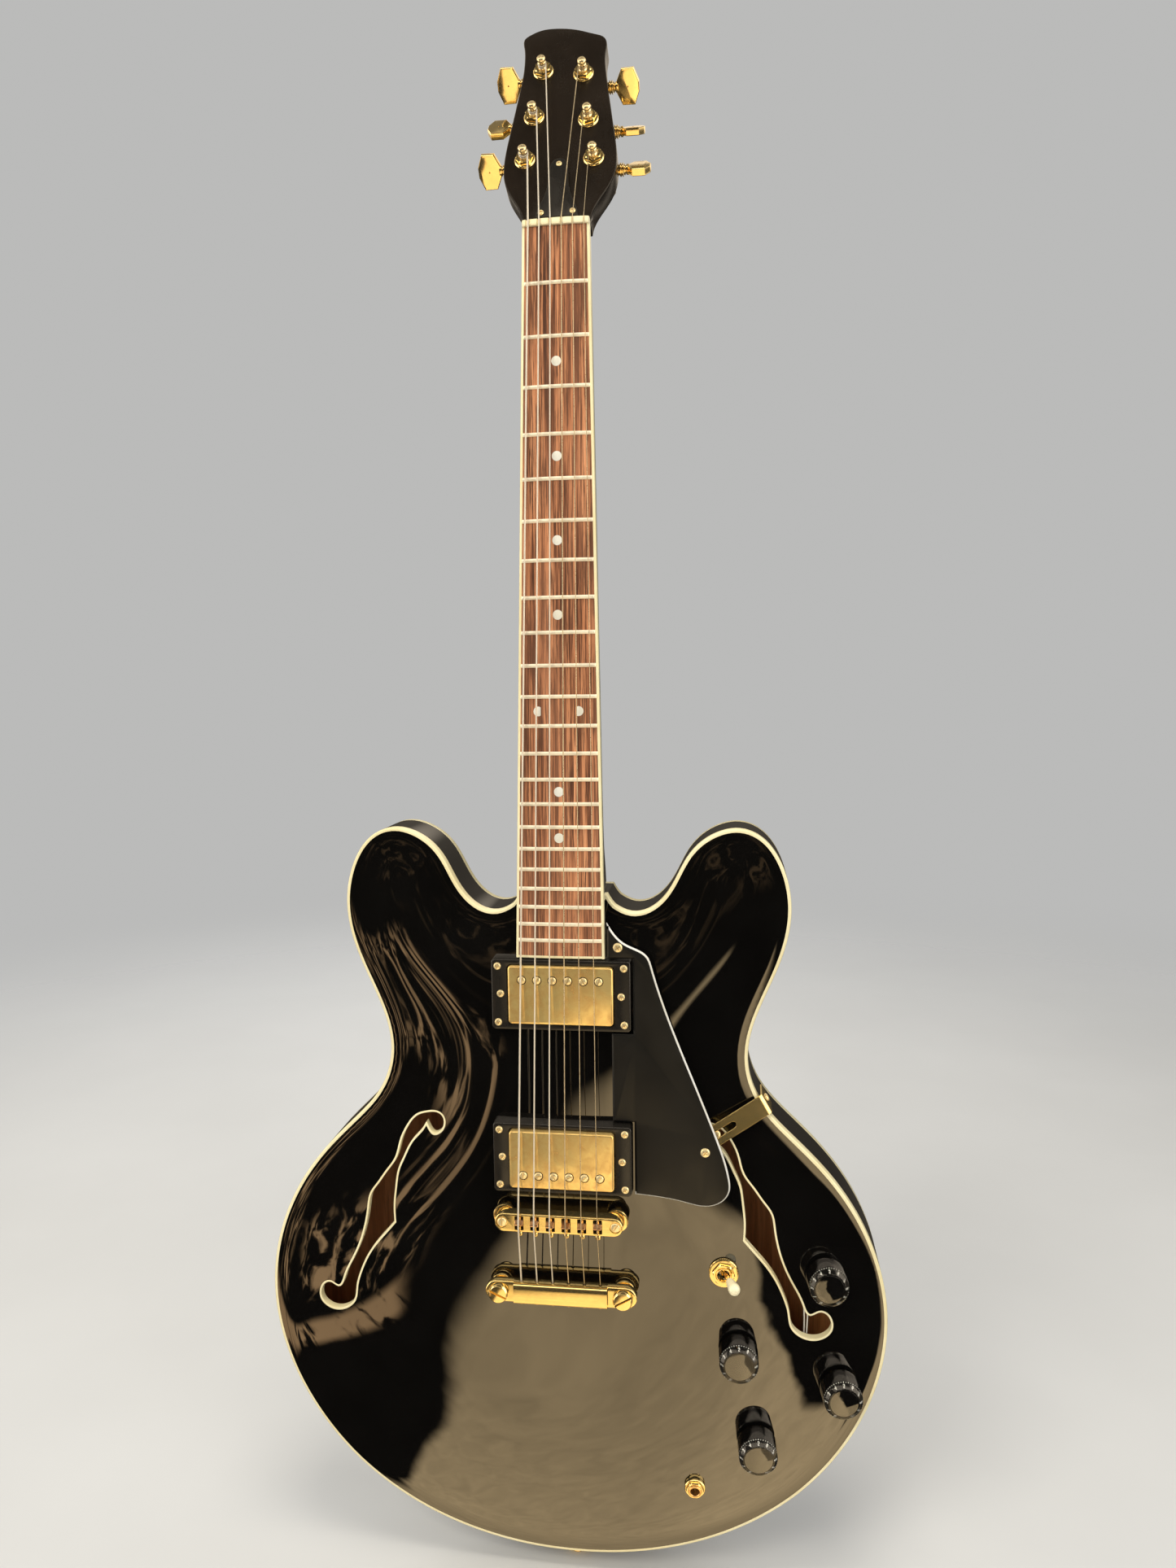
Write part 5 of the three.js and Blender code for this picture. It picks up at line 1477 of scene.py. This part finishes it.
# ---------------------------------------------------------------- knobs
def text_shape(text):
    """Flat mesh of a text one unit high, centred: (x, y) points and triangles."""
    curve = bpy.data.curves.new("text", "FONT")
    curve.body, curve.size, curve.align_x, curve.align_y = text, 1.0, "CENTER", "CENTER"
    curve.resolution_u = 3
    obj = bpy.data.objects.new("text", curve)
    bpy.context.scene.collection.objects.link(obj)
    evaluated = obj.evaluated_get(bpy.context.evaluated_depsgraph_get())
    bm = bmesh.new()
    bm.from_mesh(evaluated.to_mesh())
    bmesh.ops.triangulate(bm, faces=bm.faces)
    points = np.array([tuple(v.co) for v in bm.verts])[:, :2]
    faces = [tuple(v.index for v in face.verts) for face in bm.faces]
    bm.free()
    evaluated.to_mesh_clear()
    bpy.data.objects.remove(obj)
    points -= (points.min(0) + points.max(0)) / 2
    return points, faces


DIGITS = [text_shape(str(i)) for i in range(11)]
DIGIT_SIZE = 3.0
# slope that carries the dial, foot and top: radius, height
FOOT_R, FOOT_H, BROW_R, BROW_H = 12.15, 13.1, 9.1, 17.5
SLOPE_LEN = math.hypot(FOOT_R - BROW_R, BROW_H - FOOT_H)
KNOB_CORE = rounded([(0, 2.2), (12.2, 2.2), (12.3, 3.0), (12.2, FOOT_H - 0.4),
                     (FOOT_R, FOOT_H), (BROW_R, BROW_H), (0, BROW_H + 0.02)], 0.12, 2)
shell = rounded([(0, 2.0), (0, 1.9), (12.8, 1.9), (12.78, 4.5), (12.6, 15.2), (12.3, 16.3),
                 (10.3, 18.2), (0, 18.3)], 0.4, 4)
KNOB_SHELL = [(0, 1.9)] + [q for q in shell if q[0] > 0.01] + [(0, 18.3)]


def raised(points, faces, place, lift=0.06):
    """Thin raised print: a closed solid from a flat mesh put in place(x, y, lift)."""
    solid = [place(x, y, height) for height in (lift, -0.05) for x, y in points]
    count = len(points)
    sides = list(faces) + [tuple(count + i for i in face[::-1]) for face in faces]
    directed = dict.fromkeys(edge for face in faces for edge in zip(face, face[1:] + face[:1]))
    sides += [(b, a, count + a, count + b) for a, b in directed if (b, a) not in directed]
    return np.array(solid), sides


def two_tone_lathe(name, profile, centre, axis, segments, materials, sharp):
    """Turned knob part with the second material on the dial slope."""
    obj = mesh_object(name, lathe(profile, centre, axis, segments), materials, sharp=sharp)
    along = axes_about(axis)[2]
    for face in obj.data.polygons:
        if 0.2 < float(np.dot(face.normal, along)) < 0.97:
            face.material_index = 1
    return obj


def knob(name, place, axis):
    centre = control_point(place)
    across, up, along = axes_about(axis)
    core = two_tone_lathe(name + "_core", KNOB_CORE, centre, axis, 64,
                          [KNOB_BLACK, KNOB_SLOPE], 30)
    register(core, body=name, replaces=name)
    part(name + "_shaft", lathe(rod(3.1, -8, 2.3), centre, axis, 24), GOLD, "gold_hardware",
         body=name)
    washer = lathe(rounded(band(3.2, 6.2, 0.1, 1.0), 0.2, 2), centre - along * 0.3, axis, 32)
    part(name + "_washer", washer, GOLD, "gold_hardware")
    clear = two_tone_lathe(name + "_shell", KNOB_SHELL, centre, axis, 72,
                           [CLEAR, CLEAR_SLOPE], 40)
    register(clear, body=name)

    def on_slope(points, faces, angle, foot):
        """Print at an angle round the knob, foot mm up the slope."""
        def to_slope(x, y, lift):
            share = (foot + y) / SLOPE_LEN
            radius = (FOOT_R + (BROW_R - FOOT_R) * share
                      + lift * (BROW_H - FOOT_H) / SLOPE_LEN)
            height = (FOOT_H + (BROW_H - FOOT_H) * share
                      + lift * (FOOT_R - BROW_R) / SLOPE_LEN)
            a = angle - x / max(1.0, radius)
            return centre + (across * math.cos(a) + up * math.sin(a)) * radius + along * height
        return raised(points, faces, to_slope)

    # 0 to 10 over 300 degrees, four ticks to a number
    prints = []
    for k in range(41):
        angle = math.radians(90 + 150 - k * 7.5)
        half_w, half_h = 0.15, 0.3 if k % 2 else 0.42
        if k % 4 == 0:
            half_w = 0.2
            points, faces = DIGITS[k // 4]
            prints.append(on_slope(points * DIGIT_SIZE, faces, angle, 2.9))
        tick = [(half_w * a, half_h * b) for a, b in CORNERS]
        prints.append(on_slope(tick, [(0, 1, 2, 3)], angle, 0.7))
    part(name + "_dial", join_shapes(prints), NUMERAL, "toggle_tip", body=name, sharp=30)


for name, (place, axis) in KNOBS.items():
    knob(name, place, axis)

# ---------------------------------------------------------------- selector switch
switch = control_point(SWITCH_AT)
SWITCH_WASHER = [(5.0, -1.0), (9.4, -1.0), (9.7, -0.6), (9.7, 1.0), (9.4, 1.35), (8.2, 1.5),
                 (5.0, 1.5), (5.0, -1.0)]
part("switch_washer", lathe(SWITCH_WASHER, switch, FRONT, 96, knurl=((1, 2, 3, 4), -0.16)),
     GOLD, "gold_hardware", replaces="toggle_switch", sharp=26)
hex_nut("switch_nut", switch, FRONT, half_flats=6.5, bore=5.0, low=1.45, high=3.7, turn=0.35)
SWITCH_BARREL = rounded([(4.0, -20), (4.95, -20), (4.95, 4.0), (4.7, 4.4), (4.25, 4.4),
                         (4.0, 4.0), (4.0, -20)], 0.1, 2)
part("switch_barrel", lathe(SWITCH_BARREL, switch, FRONT, 40), GOLD, "gold_hardware")
lever_axis = (math.sin(SWITCH_LEAN), -math.cos(SWITCH_LEAN), 0)
lever_pivot = switch + (0, 2.5, 0)
LEVER_STICK = rounded([(0, -6), (1.5, -6), (1.5, -2.7), (2.6, -1.9), (3.2, 0), (2.6, 1.9),
                       (1.5, 2.7), (1.5, 14), (0, 14)], 0.4, 3)
part("lever_stick", lathe(LEVER_STICK, lever_pivot, lever_axis, 32), GOLD, "gold_hardware",
     body="toggle_lever", replaces="toggle_lever")
LEVER_TIP = rounded([(0, 12.8), (2.0, 12.8), (2.5, 13.2), (2.9, 15.4), (3.35, 18.4),
                     (3.75, 21.3), (3.85, 22.5), (3.65, 23.8), (3.05, 24.9), (1.8, 25.65),
                     (0.8, 25.95), (0, 26.0)], 0.3, 3)
part("lever_tip", lathe(LEVER_TIP, lever_pivot, lever_axis, 40), TIP, "toggle_tip",
     body="toggle_lever")

# ---------------------------------------------------------------- output jack
jack = control_point(JACK_AT)
JACK_WASHER = rounded([(4.6, -0.6), (6.9, -0.6), (6.9, 1.9), (6.4, 2.35), (4.6, 2.35),
                       (4.6, -0.6)], 0.25, 2)
JACK_SLEEVE = rounded([(3.0, -22), (4.4, -22), (4.4, 4.6), (4.1, 4.95), (3.3, 4.95),
                       (3.0, 4.5), (3.0, -22)], 0.2, 3)
part("jack_washer", lathe(JACK_WASHER, jack, JACK_AXIS, 56), GOLD, "gold_hardware",
     replaces="output_jack")
hex_nut("jack_nut", jack, JACK_AXIS, half_flats=5.3, bore=4.3, low=2.3, high=4.1, turn=0.5)
part("jack_sleeve", lathe(JACK_SLEEVE, jack, JACK_AXIS, 48), GOLD_DARK, "gold_hardware")
# dark plug deep in the jack's hole: painted shade
part("jack_hole_painted_shade", lathe(rod(2.95, -21.5, -5), jack, JACK_AXIS, 32), DARK, "black_plastic")

# ---------------------------------------------------------------- strap buttons, wires
STRAP_PIN = rounded([(0, 0.2), (5.9, 0.2), (5.9, 0.9), (5.0, 2.0), (3.7, 4.6), (4.2, 8),
                     (7.4, 10.4), (8.0, 11.6), (7.5, 12.9), (4.0, 13.1), (3.4, 12.0),
                     (0, 12.0)], 0.5, 4)
for name, foot, axis in (("end", (0, 0, BODY_BASE_Z), DOWN),
                         ("heel", (0, 17.8, BODY_END_Z + 12), (0, 1, 0))):
    part("strap_pin_" + name, lathe(STRAP_PIN, foot, axis, 56), GOLD, "gold_hardware",
         replaces="strap_button_" + name)
    screw("strap_screw_" + name, np.array(foot, float) + np.array(axis, float) * 11.9, axis,
          3.2, turn=0.5, height=0.9)
    part("strap_felt_" + name, lathe(rounded(band(2, 7.0, -0.3, 0.55), 0.2, 2), foot, axis, 40),
         FELT, "black_plastic")

# two wires under the treble f-hole: x at the start and at the end
for i, (start_x, end_x) in enumerate(((156.4, 157.0), (159.2, 158.9))):
    path = [(start_x + (end_x - start_x) * t + 0.5 * math.sin(5 * t + i),
             -19.5 + 2.5 * math.cos(3 * t), SCALE_Z - 66 - 40 * t)
            for t in np.linspace(-0.3, 1.1, 16)]
    part("pickup_wire_%d" % (i + 1), tube(path, 0.5, 10), WIRE, "strings")


# ---------------------------------------------------------------- floor, in metres
def floor_material():
    m = new_material("studio_floor_paint")
    color = m.ramp(m.noise(scale=3, detail=4, rough=0.5),
                   [(0.3, (0.60, 0.60, 0.59)), (0.7, (0.64, 0.64, 0.63))])
    paint = m.principled(base_color=color, roughness=0.7, specular_ior_level=0.2)
    radius = m.node("VectorMath", {0: m.coords.outputs["Object"]}, operation="LENGTH")
    away = m.remap(radius.outputs["Value"], span=(0.7, 2.6))
    return m.finish(m.mix_shader(away, paint, m.node("BsdfTransparent").outputs[0]))


def studio_floor():
    """Disc just below the guitar that fades out; mirror and glass rays miss it."""
    segments, radii = 96, (0.4, 1.0, 2.0, 3.5, 6.0)
    points = [(0, 0, 0)] + [(r * math.cos(a), r * math.sin(a), 0)
                            for r in radii for a in turn_angles(segments)]
    faces = [(0, 1 + i, 1 + (i + 1) % segments) for i in range(segments)]
    for k in range(len(radii) - 1):
        for i in range(segments):
            a, b = 1 + k * segments + i, 1 + k * segments + (i + 1) % segments
            faces.append((a, b, b + segments, a + segments))
    mesh = bpy.data.meshes.new("studio_floor")
    mesh.from_pydata(points, [], faces)
    obj = bpy.data.objects.new("studio_floor", mesh)
    obj.location = (0, 0, -0.0006)
    bpy.context.scene.collection.objects.link(obj)
    mesh.materials.append(floor_material())
    obj.visible_glossy = False
    obj.visible_transmission = False
    return obj


studio_floor()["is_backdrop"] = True


# ---------------------------------------------------------------- world
def build_world():
    """Plain pale light for diffuse and camera rays, a dark room with panels for reflections."""
    world = bpy.data.worlds.new("studio")
    bpy.context.scene.world = world
    g = Graph(world, "World")
    math_node, fade = g.math, g.fade

    def add(a, b):
        return math_node("ADD", a, b)

    def subtract(a, b):
        return math_node("SUBTRACT", a, b)

    def multiply(*factors):
        result = factors[0]
        for factor in factors[1:]:
            result = math_node("MULTIPLY", result, factor)
        return result

    def level(strength):
        return add(strength, 0.0)

    def color(*rgb):
        node = g.node("RGB")
        node.outputs[0].default_value = (*rgb, 1)
        return node.outputs[0]

    def light(tone, strength):
        return g.node("Background", {0: tone, 1: strength}).outputs[0]

    def plane_noise(u, v, scale, detail, dist):
        vector = g.node("CombineXYZ", {0: u, 1: v, 2: 0.0}).outputs[0]
        return g.noise_at(vector, scale=scale, detail=detail, dist=dist)

    # a direction as a place on a plane in front of the guitar: across and up, a little wavy
    direction = g.coords.outputs["Generated"]
    x, y, z = g.node("SeparateXYZ", {0: direction}).outputs
    ahead = math_node("MAXIMUM", multiply(y, -1.0), 0.02)
    wave = subtract(g.noise_at(direction, scale=5.0, detail=4.0), 0.5)
    across = add(math_node("DIVIDE", x, ahead), multiply(wave, 0.16))
    up = add(math_node("DIVIDE", z, ahead), multiply(wave, 0.10))
    abs_across = math_node("ABSOLUTE", across)
    facing = fade(y, start=-0.02, end=-0.15)
    swirl = plane_noise(across, multiply(up, 1.6), scale=5.5, detail=6.0, dist=1.4)

    # warm field low on the treble side, with slanting edges
    slanted = add(across, multiply(up, -0.476))
    fine = plane_noise(multiply(slanted, 2.2), up, scale=9.0, detail=5.0, dist=0.8)
    upper_edge = add(up, multiply(math_node("MAXIMUM", subtract(0.05, across), 0.0), 0.4))
    drop = math_node("MAXIMUM", subtract(-0.55, up), 0.0)
    right_edge = math_node(
        "MAXIMUM", fade(add(across, multiply(drop, -0.55)), start=0.20, end=0.155),
        fade(up, start=-1.00, end=-1.06))
    field = multiply(fade(slanted, start=0.02, end=0.075),
                     fade(upper_edge, start=-0.30, end=-0.37), right_edge, facing)
    field_strength = multiply(
        add(1.55, multiply(fade(across, start=-0.05, end=0.30), 0.45)),
        add(0.72, multiply(fine, 0.52)))

    # dim room, darker in the window that the flat front mirrors and behind the guitar
    window = multiply(facing, fade(abs_across, start=1.50, end=1.28),
                      fade(up, start=-2.9, end=-2.4))
    room = add(0.010, multiply(fade(up, start=1.3, end=2.4), window, level(0.07)))
    room = add(room, multiply(subtract(1.0, window),
                              add(0.16, multiply(fade(z, start=-0.2, end=0.6), 0.35))))
    behind = fade(y, start=0.10, end=0.30)
    room = multiply(room, subtract(1.0, multiply(behind, 0.72)))

    # soft boxes: bass side, treble side, above, high behind, and one low each side behind
    soft = add(multiply(fade(x, start=-0.76, end=-0.84), fade(z, start=-0.45, end=-0.20),
                        facing, level(3.2)),
               multiply(fade(x, start=0.58, end=0.68), fade(z, start=-0.45, end=-0.20),
                        facing, level(3.0)))
    soft = add(soft, multiply(fade(up, start=0.55, end=0.68), fade(up, start=1.35, end=1.15),
                              fade(abs_across, start=1.3, end=1.1), facing, level(2.6)))
    soft = add(soft, multiply(fade(y, start=0.15, end=0.35), fade(z, start=0.25, end=0.40),
                              fade(z, start=0.80, end=0.65), level(0.9)))
    abs_x = math_node("ABSOLUTE", add(x, multiply(wave, 0.05)))
    soft = add(soft, multiply(behind, fade(abs_x, start=0.56, end=0.60),
                              fade(abs_x, start=0.70, end=0.65),
                              fade(z, start=-0.62, end=-0.45), level(1.1)))
    room = add(room, soft)

    # two slanting streaks on the bass side and dim shapes higher up
    def off_line(height, slope):
        return math_node("ABSOLUTE", subtract(up, add(height, multiply(across, slope))))

    streak = multiply(fade(off_line(-0.300, 0.707), start=0.075, end=0.030),
                      fade(across, start=-0.38, end=-0.50), facing,
                      fade(swirl, start=0.38, end=0.52), level(1.45))
    wide_streak = multiply(fade(off_line(-0.17, 0.50), start=0.20, end=0.10),
                           fade(across, start=-0.34, end=-0.46),
                           fade(across, start=-1.05, end=-0.90), facing,
                           fade(fine, start=0.49, end=0.62), level(1.6))
    shapes = multiply(fade(up, start=-0.16, end=-0.04), fade(abs_across, start=0.75, end=0.55),
                      facing, fade(swirl, start=0.50, end=0.68), level(0.22),
                      fade(up, start=0.6, end=0.3))
    things = add(streak, add(wide_streak, shapes))

    pale = color(0.80, 0.80, 0.79)
    dim, orange, warm = color(1.0, 0.86, 0.68), color(1.0, 0.62, 0.30), color(1.0, 0.735, 0.395)
    surroundings = g.node("AddShader", {0: light(dim, room), 1: light(orange, things)})
    glossy = g.mix_shader(field, surroundings.outputs[0], light(warm, field_strength))
    ray = g.node("LightPath").outputs
    mirrored_ray = math_node("MAXIMUM", ray["Is Glossy Ray"], ray["Is Transmission Ray"])
    seen = g.mix_shader(mirrored_ray, light(pale, 0.55), glossy)
    g.finish(g.mix_shader(ray["Is Camera Ray"], seen, light(pale, 0.62)))


build_world()


# ---------------------------------------------------------------- lights and camera, in metres
def area_light(name, location, target, size, power, color):
    lamp = bpy.data.lights.new(name, "AREA")
    lamp.shape, lamp.energy, lamp.color = "RECTANGLE", power, color
    lamp.size, lamp.size_y = size
    obj = bpy.data.objects.new(name, lamp)
    obj.location = location
    obj.rotation_mode = "QUATERNION"
    obj.rotation_quaternion = (Vector(target) - Vector(location)).to_track_quat("-Z", "Y")
    bpy.context.scene.collection.objects.link(obj)
    obj.visible_glossy = False
    obj.visible_transmission = False


area_light("key", location=(-1.0, -1.7, 1.9), target=(0, 0, 0.5), size=(1.1, 1.1), power=34,
           color=(1.0, 0.95, 0.86))
area_light("overhead", location=(0.15, -0.45, 2.4), target=(0.05, -0.05, 0.4),
           size=(0.9, 0.7), power=22, color=(1.0, 0.93, 0.82))
area_light("fill", location=(2.0, -1.4, 0.9), target=(0.1, 0, 0.3), size=(1.2, 1.6), power=14,
           color=(0.95, 0.97, 1.0))
area_light("back", location=(-0.8, 2.0, 1.4), target=(0, 0, 0.4), size=(1.2, 1.2), power=18,
           color=(1, 1, 1))


def build_camera():
    data = bpy.data.cameras.new("camera")
    camera = bpy.data.objects.new("camera", data)
    bpy.context.scene.collection.objects.link(camera)
    data.sensor_width, data.lens = 36.0, 24.96
    data.clip_start, data.clip_end = 0.02, 50
    camera.location = (0.1108, -0.7147, 0.6203)
    forward = Vector((-0.1327, 0.9862, -0.0991)).normalized()
    right = forward.cross(Vector((0.0006, 0.100, 0.995))).normalized()
    rotation = Matrix((right, right.cross(forward), -forward)).transposed()
    camera.rotation_mode = "QUATERNION"
    camera.rotation_quaternion = rotation.to_quaternion()
    bpy.context.scene.camera = camera


build_camera()
bpy.context.scene.view_settings.view_transform = "Standard"

low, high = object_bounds()
({"cad_box": [list(CAD_BOX[0]), list(CAD_BOX[1])],
           "visual_box": [list(low), list(high)]})
